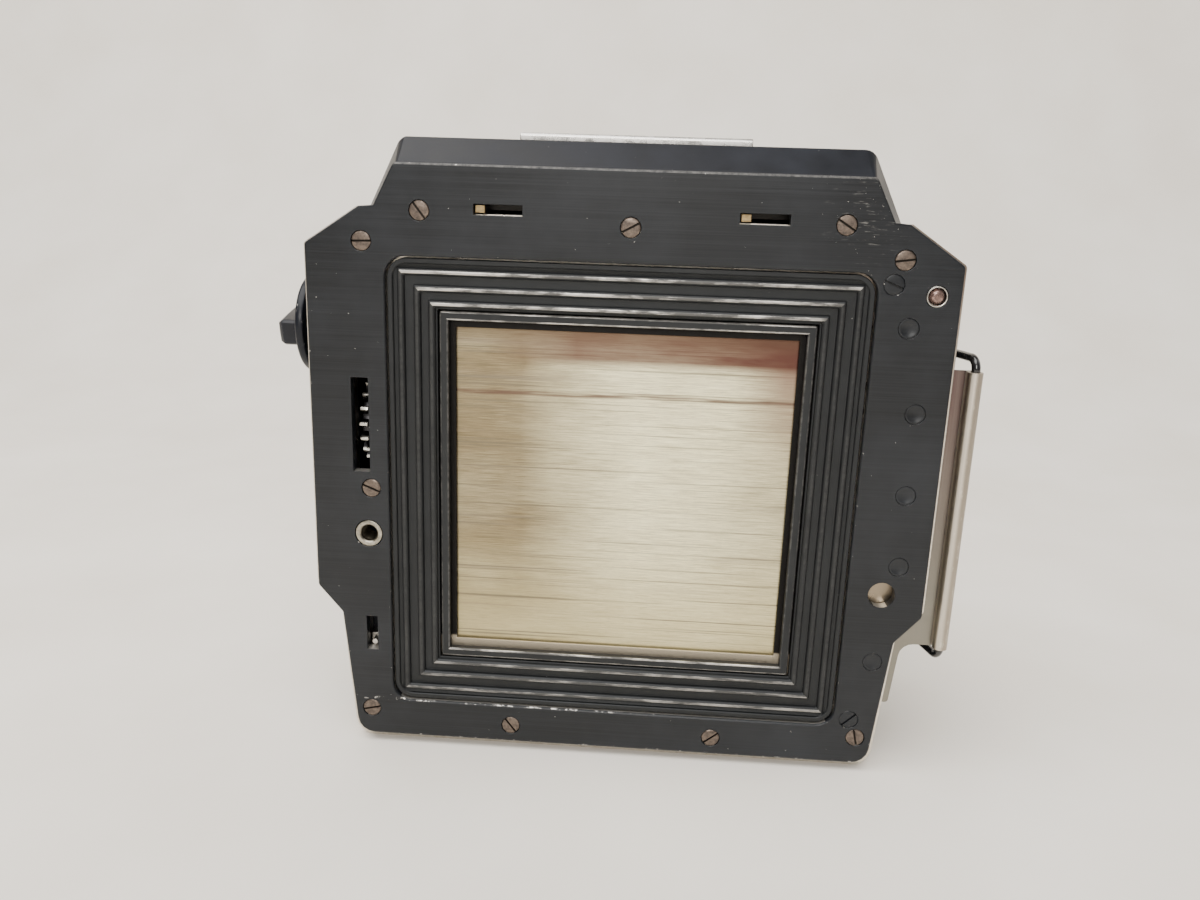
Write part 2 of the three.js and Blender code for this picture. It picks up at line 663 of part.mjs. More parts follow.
// A bent strip screwed to the insert's web, reaching towards the pressure plate.
function leafSpring(x) {
  const strip = [
    [13.5, -6.5], [13.05, -6.5], [13.05, -3.4], [8.55, 1.5], [8.55, 5.5],
    [9.0, 5.5], [9.0, 1.7], [13.5, -3.2],
  ];
  return sideways(strip, [x - 3, x + 3]);
}

function filmRoller(side) {
  const centre = [side * ROLLER_Y, ROLLER_Z];
  return join(rod('x', centre, 1.35, [-35.2, 35.2], 16), rod('x', centre, 0.6, [-36.7, 36.7], 10));
}

function supplyPivot() {
  const centre = [-SPOOL_Y, SPOOL_Z];
  return join(rod('x', centre, 2.3, [-35.3, -28.0], 16), rod('x', centre, 1.45, [-38.2, -35.0], 16));
}

// A sprung pin that holds a spool's right end, with a pull knob outside the body's wall.
function spoolPull(y, wallFace) {
  const centre = [y, SPOOL_Z];
  return join(
    rod('x', centre, 2.3, [27.5, 35.0], 16),
    rod('x', centre, 1.5, [34.0, wallFace + 1.4], 16),
    turned([
      [0, wallFace + 0.9], [3.6, wallFace + 0.9], [3.9, wallFace + 1.2], [3.9, wallFace + 2.2],
      [3.5, wallFace + 2.6], [0, wallFace + 2.6],
    ], centre, 24),
  );
}

// ---------------------------------------------------------------- assembly

piece('front_plate', 'blackBrushed', frontPlate());
piece('light_baffle', 'blackMatte', lightBaffle());
piece('aperture_frame', 'blackMatte', squareRing(FRAME_HALF, [APERTURE_HALF, APERTURE_HALF], [-2.6, -1.1]));
piece('gate_lip', 'tarnishedSteel', squareRing(34.9, [LIP_HALF_X, LIP_HALF_Y], [-3.2, -2.8]));
piece('mount_flange', 'brightRim', mountFlange());
BARE_SCREWS.forEach((spec, i) => piece(`plate_screw_${i + 1}`, 'tarnishedSteel', screw(spec)));
PAINTED_SCREWS.forEach((spec, i) => piece(`painted_screw_${i + 1}`, 'blackBrushed', screw(spec)));
piece('threaded_bush', 'steel', threadedBush());
piece('pin_bush', 'steel', pinBush());
piece('interlock_pin', 'copperySteel', interlockPin());
piece('counter_reset_pin', 'steel', resetPin());
piece('dark_slide', 'satinSilver', darkSlide());
piece('slide_bail', 'blackGloss', slideBail());
piece('light_trap_felt', 'felt', block([36.4, 41.0], [-34.0, 34.0], [-5.05, -4.2]));
piece('housing', 'blackSatin', housing());
piece('top_cover', 'blackSatin', topCover());
piece('latch_bar', 'brass', latchBar());
piece('door_latch', 'chrome', doorLatch());
piece('rear_door', 'blackSatin', rearDoor());
piece('door_keeper', 'steel', doorKeeper());
piece('door_leatherette', 'leatherette', doorLeatherette());
piece('side_leatherette', 'leatherette', sideLeatherette());
piece('hinge_pin', 'steel', rod('x', [HINGE_Y, HINGE_Z], 0.7, [-31, 31], 12));
piece('side_cover', 'blackSatin', sideCover());
piece('winding_collar', 'blackSatin', windingCollar());
piece('winding_knob', 'blackSatin', windingKnob());
piece('knob_grip', 'blackSatin', knobGrip());
piece('winding_shaft', 'steel', rod('x', windingAxis, SHAFT_RADIUS, [-56.4, -29.5], 20));
piece('winding_gear', 'brass', windingGear());
piece('drive_gear', 'steel', driveGear());
piece('take_up_spool', 'blackPlastic', filmSpool(SPOOL_Y));
piece('supply_spool', 'blackPlastic', filmSpool(-SPOOL_Y));
piece('counter_dial', 'blackPlastic', counterDial());
piece('counter_window', 'clear', rod('x', COUNTER_WINDOW, 2.2, [-48.3, -47.3], 20));
piece('film_insert_frame', 'steel', filmInsertFrame());
piece('film_gate', 'blackMatte', filmGate());
piece('pressure_plate', 'blackMatte', prism(rectangle(32, 29.5, 2.0), [-7.5, -6.9]));
piece('pressure_spring_left', 'steel', leafSpring(-16));
piece('pressure_spring_right', 'steel', leafSpring(16));
piece('film_roller_upper', 'steel', filmRoller(1));
piece('film_roller_lower', 'steel', filmRoller(-1));
piece('supply_pivot', 'steel', supplyPivot());
piece('spool_pull_upper', 'chrome', spoolPull(SPOOL_Y, 47.0));
piece('spool_pull_lower', 'chrome', spoolPull(-SPOOL_Y, 44.3));

export default magazine;
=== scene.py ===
# Roll-film magazine with its dark slide in place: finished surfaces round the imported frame.
import json
import math

import bmesh
import bpy
from mathutils import Matrix, Vector
from mathutils.geometry import tessellate_polygon


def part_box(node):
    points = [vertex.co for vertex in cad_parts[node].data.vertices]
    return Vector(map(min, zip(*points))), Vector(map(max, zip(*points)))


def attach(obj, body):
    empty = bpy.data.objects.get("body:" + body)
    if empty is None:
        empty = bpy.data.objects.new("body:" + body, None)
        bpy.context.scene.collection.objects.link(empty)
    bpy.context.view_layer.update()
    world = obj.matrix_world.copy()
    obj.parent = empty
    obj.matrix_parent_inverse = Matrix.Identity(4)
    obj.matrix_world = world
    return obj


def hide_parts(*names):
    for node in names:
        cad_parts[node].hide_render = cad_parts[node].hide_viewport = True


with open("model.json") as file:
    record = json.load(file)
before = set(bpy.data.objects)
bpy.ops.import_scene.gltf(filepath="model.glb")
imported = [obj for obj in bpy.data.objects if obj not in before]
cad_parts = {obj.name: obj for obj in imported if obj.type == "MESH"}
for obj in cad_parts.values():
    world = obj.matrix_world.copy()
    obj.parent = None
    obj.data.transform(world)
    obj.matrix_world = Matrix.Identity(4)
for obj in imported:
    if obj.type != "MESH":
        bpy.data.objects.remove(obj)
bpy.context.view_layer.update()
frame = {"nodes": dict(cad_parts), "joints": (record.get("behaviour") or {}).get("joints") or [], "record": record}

MM = 0.001
PER_MM = 1.0 / MM
record = frame["record"]
NODE_BODY = {node: body for body, nodes in record["behaviour"]["bodies"].items() for node in nodes}
NODE_SLOT = {part["node"]: part["material_slot"] for part in record["subparts"]}
JOINTS = {joint["name"]: joint for joint in frame["joints"]}
PLATE_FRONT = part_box("front_plate")[0].y
PLATE_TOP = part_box("front_plate")[1].z * PER_MM
BAFFLE_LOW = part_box("light_baffle")[0].z * PER_MM


# ---------------------------------------------------------------- shader helpers

def add(tree, kind, **values):
    """A shader node. Sockets are given by name with _ for a space, links as output sockets."""
    node = tree.nodes.new(kind)
    for name, value in values.items():
        if hasattr(node, name) and name not in ("color", "width", "height"):
            setattr(node, name, value)
            continue
        socket = node.inputs[int(name[1:])] if name[1:].isdigit() else node.inputs[name.replace("_", " ")]
        if isinstance(value, bpy.types.NodeSocket):
            tree.links.new(value, socket)
        else:
            socket.default_value = value
    return node


def place(tree, stretch=(1, 1, 1)):
    """The piece's own coordinates in millimetres, scaled along each axis."""
    coordinates = add(tree, "ShaderNodeTexCoord").outputs["Object"]
    return add(tree, "ShaderNodeMapping", Vector=coordinates,
               Scale=[PER_MM * share for share in stretch]).outputs[0]


def noise(tree, scale, detail, rough=0.5, stretch=(1, 1, 1)):
    """Noise through the piece; a small stretch along an axis makes long streaks there."""
    return add(tree, "ShaderNodeTexNoise", Vector=place(tree, stretch), Scale=scale,
               Detail=detail, Roughness=rough).outputs["Fac"]


def ramp(tree, value, low, high, to_low=0.0, to_high=1.0):
    """value mapped from low..high to to_low..to_high and held there."""
    return add(tree, "ShaderNodeMapRange", Value=value, From_Min=low, From_Max=high,
               To_Min=to_low, To_Max=to_high).outputs[0]


def maths(tree, operation, first, second=0.0):
    return add(tree, "ShaderNodeMath", operation=operation, _0=first, _1=second).outputs[0]


def times(tree, first, second):
    return maths(tree, "MULTIPLY", first, second)


def plus(tree, first, second):
    return maths(tree, "ADD", first, second)


def most(tree, first, *others):
    """The largest of the values."""
    for other in others:
        first = maths(tree, "MAXIMUM", first, other)
    return first


def blend(tree, share, first, second):
    """A colour between first and second."""
    first, second = [value if isinstance(value, bpy.types.NodeSocket) else (*value, 1.0)
                     for value in (first, second)]
    return add(tree, "ShaderNodeMix", data_type="RGBA", _0=share, _6=first, _7=second).outputs[2]


def layered(tree, base, *layers):
    """A colour with others laid over it in turn. Each layer is its share and its colour."""
    for share, colour in layers:
        base = blend(tree, share, base, colour)
    return base


def blend_height(tree, share, first, second):
    """A value between first and second."""
    return add(tree, "ShaderNodeMix", data_type="FLOAT", _0=share, _2=first, _3=second).outputs[0]


def relief(tree, height, depth, strength):
    """A bump of that height map; depth is in millimetres."""
    return add(tree, "ShaderNodeBump", Height=height, Distance=depth * MM, Strength=strength).outputs[0]


def coordinate(tree, axis):
    """The piece's own x, y or z in millimetres."""
    return add(tree, "ShaderNodeSeparateXYZ", Vector=place(tree)).outputs[axis]


def near(tree, centre, radius):
    """1 at a point given in millimetres, falling to 0 at radius."""
    away = add(tree, "ShaderNodeVectorMath", operation="DISTANCE", _0=place(tree), _1=centre)
    return ramp(tree, away.outputs["Value"], 0.0, radius, 1.0, 0.0)


def edge(tree):
    """1 on faces marked as edges that get rubbed."""
    return add(tree, "ShaderNodeAttribute", attribute_name="wear").outputs["Fac"]


def surface(name, **values):
    """A new material with one Principled shader. Returns its tree and a function that links the shader's
    sockets and returns the material."""
    material = bpy.data.materials.new(name)
    material.use_nodes = True
    tree = material.node_tree
    tree.nodes.clear()
    shader = add(tree, "ShaderNodeBsdfPrincipled")
    for key, value in values.items():
        shader.inputs[key.replace("_", " ")].default_value = value
    add(tree, "ShaderNodeOutputMaterial", Surface=shader.outputs[0])

    def finished(**sockets):
        for name, value in sockets.items():
            tree.links.new(value, shader.inputs[name.replace("_", " ")])
        return material

    return tree, finished


# ---------------------------------------------------------------- finishes

BARE_METAL = (0.60, 0.58, 0.55)
# Millimetres: the aperture frame's band, the slide's score below the top of its window, its rolled tube.
FRAME_WIDTH = 2.5
SCORED_LINE = 10.6
TUBE_WIDTH = 2.4


def painted_plate():
    """Black paint on a plate that was brushed from left to right; chips show bare metal."""
    tree, finished = surface("plate_paint", Specular_IOR_Level=0.33,
                             Specular_Tint=(0.95, 0.975, 1.0, 1.0))
    height = coordinate(tree, 2)
    brushing = noise(tree, 1.0, 5.0, 0.65, (0.035, 1.0, 7.0))
    cloud = noise(tree, 1.0, 4.0, 0.6, (0.05, 0.05, 0.05))
    base = blend(tree, ramp(tree, brushing, 0.3, 0.72), (0.0045, 0.0050, 0.0060), (0.0135, 0.0150, 0.0180))
    base = blend(tree, ramp(tree, cloud, 0.45, 0.75, 0.0, 0.5), base, (0.024, 0.027, 0.033))
    speck = noise(tree, 1.9, 2.0, 0.6, (1, 1, 1.5))
    right_corner = near(tree, (36.0, 0.0, PLATE_TOP - 6.0), 9.0)
    top_left = near(tree, (-10.0, 0.0, PLATE_TOP - 3.0), 3.5)
    right_side = near(tree, (49.5, 0.0, 74.0), 3.0)
    crowd = most(tree, right_corner, top_left, right_side)
    chips = ramp(tree, plus(tree, speck, times(tree, crowd, 0.10)), 0.785, 0.80)
    scratch = noise(tree, 1.0, 3.0, 0.6, (0.5, 1.0, 4.0))
    scuffs = times(tree, ramp(tree, scratch, 0.62, 0.72), ramp(tree, crowd, 0.05, 0.9, 0.0, 0.35))
    rubbed = noise(tree, 0.9, 4.0, 0.75)
    more = plus(tree, ramp(tree, height, 3.5, 1.2, 0.0, 0.10), times(tree, crowd, 0.06))
    rim = times(tree, edge(tree), ramp(tree, plus(tree, rubbed, more), 0.66, 0.71))
    cut_wall = ramp(tree, edge(tree), 1.2, 1.8)
    top_line = times(tree, ramp(tree, height, PLATE_TOP - 0.7, PLATE_TOP - 0.25, 0.0, 0.15), edge(tree))
    top_line = times(tree, top_line, ramp(tree, rubbed, 0.3, 0.6))
    sill = maths(tree, "ABSOLUTE", maths(tree, "SUBTRACT", height, BAFFLE_LOW - 0.22))
    sill_chips = times(tree, ramp(tree, sill, 0.34, 0.18),
                       ramp(tree, noise(tree, 1.0, 4.0, 0.7, (0.8, 1, 1)), 0.54, 0.60))
    sill_chips = times(tree, sill_chips, ramp(tree, coordinate(tree, 0), 6.0, -4.0, 0.0, 0.9))
    bare = most(tree, chips, scuffs, rim, cut_wall, top_line, sill_chips)
    return finished(
         Base_Color=blend(tree, bare, base, BARE_METAL),
         Metallic=ramp(tree, bare, 0.0, 1.0, 0.0, 0.85),
         Roughness=ramp(tree, brushing, 0.25, 0.75, 0.30, 0.46),
         Normal=relief(tree, brushing, 0.02, 0.5))


def matte_black(name, tone, crest_wear):
    """Flat black that rubs to a grey shine on crests and corners; on the light baffle's top crests the shine is
    also a painted highlight.
    """
    tree, finished = surface(name, Specular_IOR_Level=0.38, Specular_Tint=(0.92, 0.965, 1.0, 1.0))
    grain = noise(tree, 9.0, 4.0, 0.7)
    patch = noise(tree, 0.22, 3.0)
    base = blend(tree, ramp(tree, patch, 0.35, 0.7), [tone * 0.76, tone * 0.80, tone * 0.88],
                 [tone * 1.22, tone * 1.30, tone * 1.42])
    fleck = noise(tree, 1.3, 2.0, 0.5)
    base = blend(tree, ramp(tree, fleck, 0.78, 0.80), base, (0.20, 0.20, 0.19))
    broken = noise(tree, 1.0, 5.0, 0.7, (0.18, 1, 1))
    stretch = noise(tree, 0.05, 2.0, 0.5)
    worn = ramp(tree, plus(tree, broken, times(tree, stretch, 0.6)), crest_wear - 0.06, crest_wear + 0.12)
    worn = times(tree, edge(tree), plus(tree, times(tree, worn, 0.8), 0.14))
    gloss = most(tree, worn, ramp(tree, grain, 0.4, 0.8, 0.0, 0.35))
    return finished(
         Base_Color=blend(tree, worn, base, (0.56, 0.54, 0.51)),
         Metallic=ramp(tree, worn, 0.0, 1.0, 0.0, 0.75),
         Roughness=ramp(tree, gloss, 0.0, 1.0, 0.50, 0.32),
         Normal=relief(tree, grain, 0.012, 0.4))


def slide_window(tree, across_x, height, fine, rubs):
    """The blade in the opening: pale in the middle from a painted reflection, olive at the left and low down,
    reddish at the top, with a painted shadow under the frame's top edge.
    """
    window_low, window_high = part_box("aperture_frame")
    bottom = window_low.z * PER_MM + FRAME_WIDTH
    top = window_high.z * PER_MM - FRAME_WIDTH
    # dull and bright are a shaded and a lit tone of the blade; the mix between them below is a painted reflection,
    # palest in the middle and dimmer at the left and low down.
    dull = blend(tree, ramp(tree, fine, 0.30, 0.70), (0.125, 0.098, 0.054), (0.37, 0.30, 0.18))
    bright = blend(tree, ramp(tree, fine, 0.24, 0.58), (0.34, 0.30, 0.175), (1.0, 0.95, 0.64))
    low_down = ramp(tree, height, bottom + 22.0, bottom + 4.0)
    painted_reflection = times(tree, ramp(tree, across_x, -17.0, 2.0, 0.05, 1.0),
                 ramp(tree, across_x, 14.0, 29.0, 1.0, 0.50))
    painted_reflection = plus(tree, times(tree, painted_reflection, ramp(tree, low_down, 0.0, 1.0, 1.0, 0.66)),
                ramp(tree, low_down, 0.0, 1.0, 0.0, 0.22))
    cloudy = noise(tree, 1.0, 3.0, 0.55, (0.04, 1.0, 0.10))
    painted_reflection = plus(tree, painted_reflection, ramp(tree, cloudy, 0.3, 0.7, -0.16, 0.16))
    lines = noise(tree, 1.0, 4.0, 0.65, (0.014, 1.0, 2.4))
    grit = noise(tree, 1.0, 4.0, 0.7, (0.5, 1.0, 13.0))
    fading = times(tree, ramp(tree, height, top - 24.0, top - 6.0, 0.0, 0.85),
                   ramp(tree, across_x, 18.0, 26.0))
    to_right = ramp(tree, across_x, -26.0, 27.0)
    reach = plus(tree, ramp(tree, across_x, -23.0, -8.0, 0.0, 0.86),
                 ramp(tree, to_right, 0.5, 1.0, 0.0, 0.14))
    uneven = ramp(tree, noise(tree, 1.0, 3.0, 0.6, (0.08, 1.0, 0.5)), 0.3, 0.7, 0.92, 1.06)
    haze = times(tree, times(tree, ramp(tree, height, top - 6.2, top - 4.6), reach), uneven)
    waver = ramp(tree, noise(tree, 1.0, 2.0, 0.5, (0.05, 1.0, 0.0)), 0.3, 0.7, -0.25, 0.25)
    off_line = maths(tree, "SUBTRACT", plus(tree, height, waver), top - SCORED_LINE)
    broken = ramp(tree, noise(tree, 1.0, 3.0, 0.6, (0.09, 1.0, 2.5)), 0.40, 0.58, 0.25, 0.85)
    scored = times(tree, ramp(tree, maths(tree, "ABSOLUTE", off_line), 0.62, 0.18), broken)
    return layered(tree, blend(tree, painted_reflection, dull, bright),
                   (times(tree, low_down, 0.55), (0.56, 0.475, 0.250)),
                   (ramp(tree, lines, 0.56, 0.66, 0.0, 0.80), (0.17, 0.148, 0.104)),
                   (ramp(tree, grit, 0.53, 0.72, 0.0, 0.45), (0.17, 0.14, 0.095)),
                   (ramp(tree, rubs, 0.56, 0.76, 0.0, 0.45), (0.27, 0.225, 0.17)),
                   (fading, (0.27, 0.175, 0.130)),
                   (haze, (0.112, 0.052, 0.041)),
                   # Painted shadow: the frame's top edge shades the blade just below it.
                   (ramp(tree, height, top - 3.2, top - 0.6, 0.0, 0.55), (0.11, 0.070, 0.046)),
                   (scored, (0.12, 0.070, 0.055)))


def slide_pull(tree, across_x, height, handled):
    """The tab and the rolled tube right of the plate, browner and marked along their length; the tube has a
    painted highlight on its left flank and painted shade in the groove beside the tab.
    """
    tube_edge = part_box("dark_slide")[1].x * PER_MM - TUBE_WIDTH
    along = noise(tree, 1.0, 5.0, 0.6, (3.0, 1.0, 0.05))
    tab = blend(tree, ramp(tree, height, 30.0, 66.0), (0.235, 0.225, 0.190), (0.140, 0.096, 0.090))
    tab = blend(tree, ramp(tree, along, 0.35, 0.7, 0.0, 0.3), tab, (0.27, 0.24, 0.21))
    # Painted highlight: the tube is pale on its left flank and darker towards its right flank.
    tube = blend(tree, ramp(tree, across_x, tube_edge + 0.55, tube_edge + 1.35),
                 (0.66, 0.61, 0.53), (0.37, 0.325, 0.27))
    # Painted shade in the groove where the tab meets the tube.
    groove_shade = times(tree, ramp(tree, across_x, tube_edge - 0.25, tube_edge - 0.05, 0.0, 0.35),
                 ramp(tree, across_x, tube_edge + 0.22, tube_edge + 0.08))
    return layered(tree, tube,
                   (ramp(tree, along, 0.3, 0.7, 0.0, 0.4), (0.45, 0.40, 0.33)),
                   (ramp(tree, handled, 0.58, 0.70, 0.0, 0.5), (0.72, 0.68, 0.60)),
                   (ramp(tree, across_x, tube_edge + 0.05, tube_edge - 0.05), tab),
                   (groove_shade, (0.06, 0.05, 0.042)))


def brushed_slide():
    """Warm metal brushed from left to right."""
    tree, finished = surface("satin_slide", Metallic=1.0, Anisotropic=0.5, Anisotropic_Rotation=0.25)
    across_x = coordinate(tree, 0)
    height = coordinate(tree, 2)
    fine = noise(tree, 1.0, 7.0, 0.75, (0.16, 1.0, 6.5))
    rubs = noise(tree, 1.0, 4.0, 0.6, (0.018, 1.0, 0.55))
    handled = noise(tree, 1.0, 4.0, 0.7, (1.4, 1.0, 0.35))
    outside = ramp(tree, across_x, 40.0, 46.0)
    return finished(
         Base_Color=blend(tree, outside, slide_window(tree, across_x, height, fine, rubs),
                          slide_pull(tree, across_x, height, handled)),
         Roughness=plus(tree, ramp(tree, rubs, 0.3, 0.7, 0.30, 0.42), times(tree, outside, 0.06)),
         Normal=relief(tree, blend_height(tree, outside, fine, handled), 0.010, 0.6))


def brushed_metal(name, light, dark, stretch, roughness, depth=0.01, tints=()):
    """Metal with fine brushing; stretch gives how long the marks run along each axis.
    Each tint is a colour, the place of its middle, how far it reaches and how strong it is."""
    tree, finished = surface(name, Metallic=1.0)
    fine = noise(tree, 1.0, 6.0, 0.7, stretch)
    broad = noise(tree, 1.0, 3.0, 0.55, [share * 0.22 for share in stretch])
    base = blend(tree, ramp(tree, fine, 0.28, 0.72), dark, light)
    base = blend(tree, ramp(tree, broad, 0.50, 0.78, 0.0, 0.55), base, dark)
    for colour, centre, radius, amount in tints:
        share = maths(tree, "MINIMUM", times(tree, near(tree, centre, radius), amount), 1.0)
        base = blend(tree, share, base, colour)
    return finished(
         Base_Color=base,
         Roughness=ramp(tree, broad, 0.3, 0.7, roughness * 0.85, roughness * 1.25),
         Normal=relief(tree, fine, depth, 0.6))


def tarnished(name, light, dark, roughness, elsewhere=None):
    """Metal gone dull and spotty. elsewhere is (axis, from, to, colour): the colour fades in between the two
    places."""
    tree, finished = surface(name)
    spots = noise(tree, 1.6, 5.0, 0.7)
    scratch = noise(tree, 1.0, 3.0, 0.6, (0.6, 1.0, 4.5))
    base = blend(tree, ramp(tree, spots, 0.34, 0.66), dark, light)
    base = blend(tree, ramp(tree, scratch, 0.58, 0.75, 0.0, 0.5), base,
                 [min(1.0, c * 1.5) for c in light])
    rubbed = times(tree, edge(tree), ramp(tree, spots, 0.5, 0.66, 0.0, 0.7))
    base = blend(tree, rubbed, base, [min(1.0, c * 1.8) for c in light])
    if elsewhere:
        axis, start, end, colour = elsewhere
        base = blend(tree, ramp(tree, coordinate(tree, axis), start, end), base, colour)
    return finished(
         Base_Color=base,
         Metallic=ramp(tree, spots, 0.3, 0.7, 0.6, 0.9),
         Roughness=ramp(tree, spots, 0.3, 0.7, roughness * 1.3, roughness * 0.8),
         Normal=relief(tree, spots, 0.015, 0.5))


def satin_black(name, tone, roughness, wear_start=0.66):
    """Satin enamel with a faint orange peel and metal showing at rubbed edges."""
    tree, finished = surface(name, Specular_IOR_Level=0.22)
    peel = noise(tree, 2.6, 3.0, 0.5)
    patch = noise(tree, 0.11, 4.0, 0.6)
    base = blend(tree, ramp(tree, patch, 0.35, 0.7), [c * 0.75 for c in tone], [c * 1.5 for c in tone])
    rub = noise(tree, 0.7, 5.0, 0.75)
    worn = times(tree, edge(tree), ramp(tree, rub, wear_start, wear_start + 0.05, 0.0, 0.8))
    dust = noise(tree, 1.7, 2.0, 0.5)
    base = blend(tree, ramp(tree, dust, 0.76, 0.80, 0.0, 0.35), base, (0.16, 0.16, 0.16))
    return finished(
         Base_Color=blend(tree, worn, base, (0.40, 0.39, 0.38)),
         Metallic=ramp(tree, worn, 0.0, 1.0, 0.0, 0.9),
         Roughness=ramp(tree, patch, 0.3, 0.7, roughness * 0.85, roughness * 1.2),
         Normal=relief(tree, peel, 0.02, 0.25))


def gloss_enamel():
    tree, finished = surface("gloss_enamel", IOR=1.5, Coat_Weight=0.5, Coat_Roughness=0.08)
    peel = noise(tree, 1.4, 2.0, 0.5)
    wear = noise(tree, 0.45, 5.0, 0.7)
    return finished(
         Base_Color=blend(tree, ramp(tree, wear, 0.72, 0.76),
                          (0.006, 0.006, 0.007), (0.10, 0.095, 0.09)),
         Roughness=ramp(tree, wear, 0.3, 0.7, 0.16, 0.32),
         Normal=relief(tree, peel, 0.03, 0.3))


def leathercloth():
    """Black pebbled leathercloth."""
    tree, finished = surface("leathercloth", Specular_IOR_Level=0.30)
    cells = add(tree, "ShaderNodeTexVoronoi", Vector=place(tree), Scale=1.15, feature="SMOOTH_F1",
                Smoothness=0.35).outputs["Distance"]
    fine = noise(tree, 6.0, 3.0, 0.6)
    height = plus(tree, ramp(tree, cells, 0.05, 0.6, 1.0, 0.0), times(tree, fine, 0.15))
    patch = noise(tree, 0.05, 3.0, 0.6)
    base = blend(tree, ramp(tree, cells, 0.15, 0.6), (0.0100, 0.0100, 0.0108), (0.0030, 0.0030, 0.0034))
    return finished(
         Base_Color=blend(tree, ramp(tree, patch, 0.45, 0.7, 0.0, 0.3), base, (0.0155, 0.0150, 0.0148)),
         Roughness=ramp(tree, cells, 0.1, 0.6, 0.40, 0.62),
         Normal=relief(tree, height, 0.30, 0.9))


def plush():
    tree, finished = surface("plush", Sheen_Weight=0.3, Sheen_Roughness=0.6)
    pile = noise(tree, 14.0, 4.0, 0.8)
    return finished(
         Base_Color=blend(tree, pile, (0.003, 0.003, 0.003), (0.02, 0.02, 0.02)),
         Roughness=ramp(tree, pile, 0.2, 0.8, 0.85, 1.0),
         Normal=relief(tree, pile, 0.08, 0.9))


def moulded_plastic(name, tone):
    tree, finished = surface(name, IOR=1.46)
    grain = noise(tree, 5.0, 4.0, 0.7)
    flow = noise(tree, 0.25, 3.0, 0.6, (0.08, 1, 1))
    return finished(
         Base_Color=blend(tree, ramp(tree, flow, 0.3, 0.7), [tone * 0.8] * 3, [tone * 1.4] * 3),
         Roughness=ramp(tree, grain, 0.3, 0.7, 0.38, 0.55),
         Normal=relief(tree, grain, 0.015, 0.4))


def clear_window():
    tree, finished = surface("clear_window", Transmission_Weight=1.0, IOR=1.49)
    smear = noise(tree, 0.7, 4.0, 0.6)
    return finished(
         Base_Color=blend(tree, smear, (0.90, 0.93, 0.95), (0.98, 0.98, 0.97)),
         Roughness=ramp(tree, smear, 0.4, 0.8, 0.03, 0.16))


def mirror_chrome(name, tone, roughness):
    tree, finished = surface(name, Metallic=1.0)
    smear = noise(tree, 0.5, 5.0, 0.65)
    fine = noise(tree, 6.0, 4.0, 0.7, (0.05, 1.2, 1.2))
    base = blend(tree, ramp(tree, smear, 0.35, 0.7), [c * 0.86 for c in tone], tone)
    return finished(
         Base_Color=base,
         Roughness=ramp(tree, smear, 0.3, 0.75, roughness * 0.7, roughness * 1.7),
         Normal=relief(tree, fine, 0.004, 0.4))


def away_from_axis(tree, centre, axis):
    """The distance in millimetres from a line through centre along an axis, 0 for X and 1 for Y."""
    flatten = [0.0 if k == axis else 1.0 for k in range(3)]
    middle = [c * PER_MM * share for c, share in zip(centre, flatten)]
    away = add(tree, "ShaderNodeVectorMath", operation="DISTANCE", _0=place(tree, flatten), _1=middle)
    return away.outputs["Value"]


def box_centre(node):
    low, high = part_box(node)
    return (low + high) / 2


def gear_steel():
    """Oily dark steel whose tooth tips are painted bright: rubbed metal and a painted highlight on the tips; the
    dark tone below them also stands for the shade between the teeth.
    """
    tree, finished = surface("gear_steel", Metallic=1.0)
    low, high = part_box("drive_gear")
    tip_radius = (high.y - low.y) / 2 * PER_MM
    radius = away_from_axis(tree, box_centre("drive_gear"), 0)
    film = noise(tree, 1.2, 4.0, 0.6)
    tips = ramp(tree, radius, tip_radius - 0.55, tip_radius - 0.25)
    oily = blend(tree, film, (0.014, 0.014, 0.017), (0.050, 0.049, 0.052))
    rubbed = blend(tree, film, (0.42, 0.41, 0.37), (0.72, 0.70, 0.65))
    return finished(
         Base_Color=blend(tree, tips, oily, rubbed),
         Roughness=ramp(tree, film, 0.3, 0.7, 0.22, 0.36),
         Normal=relief(tree, film, 0.01, 0.4))


def bush_steel():
    """Dull turned steel; inside the hole it is painted dark as painted shade, with lighter flecks as painted
    glints on the threads.
    """
    tree, finished = surface("bush_steel", Metallic=1.0)
    radius = away_from_axis(tree, box_centre("threaded_bush"), 1)
    turning = noise(tree, 1.6, 4.0, 0.65)
    face = blend(tree, ramp(tree, turning, 0.3, 0.7), (0.20, 0.185, 0.150), (0.46, 0.43, 0.365))
    shaded_bore = blend(tree, turning, (0.050, 0.045, 0.036), (0.22, 0.20, 0.165))
    return finished(
         Base_Color=blend(tree, ramp(tree, radius, 1.58, 1.40), face, shaded_bore),
         Roughness=ramp(tree, turning, 0.3, 0.7, 0.26, 0.42),
         Normal=relief(tree, turning, 0.006, 0.4))


# Places in millimetres: the flange's browned corner, its face behind the round hole where painted shade falls, two
# fronts.
RIM_CORNER = (48.0, 0.0, 86.0)
ROUND_HOLE = (44.05, -1.35, 33.0)
LATCH_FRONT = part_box("latch_bar")[0].y * PER_MM
SCREW_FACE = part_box("plate_screw_1")[0].y * PER_MM

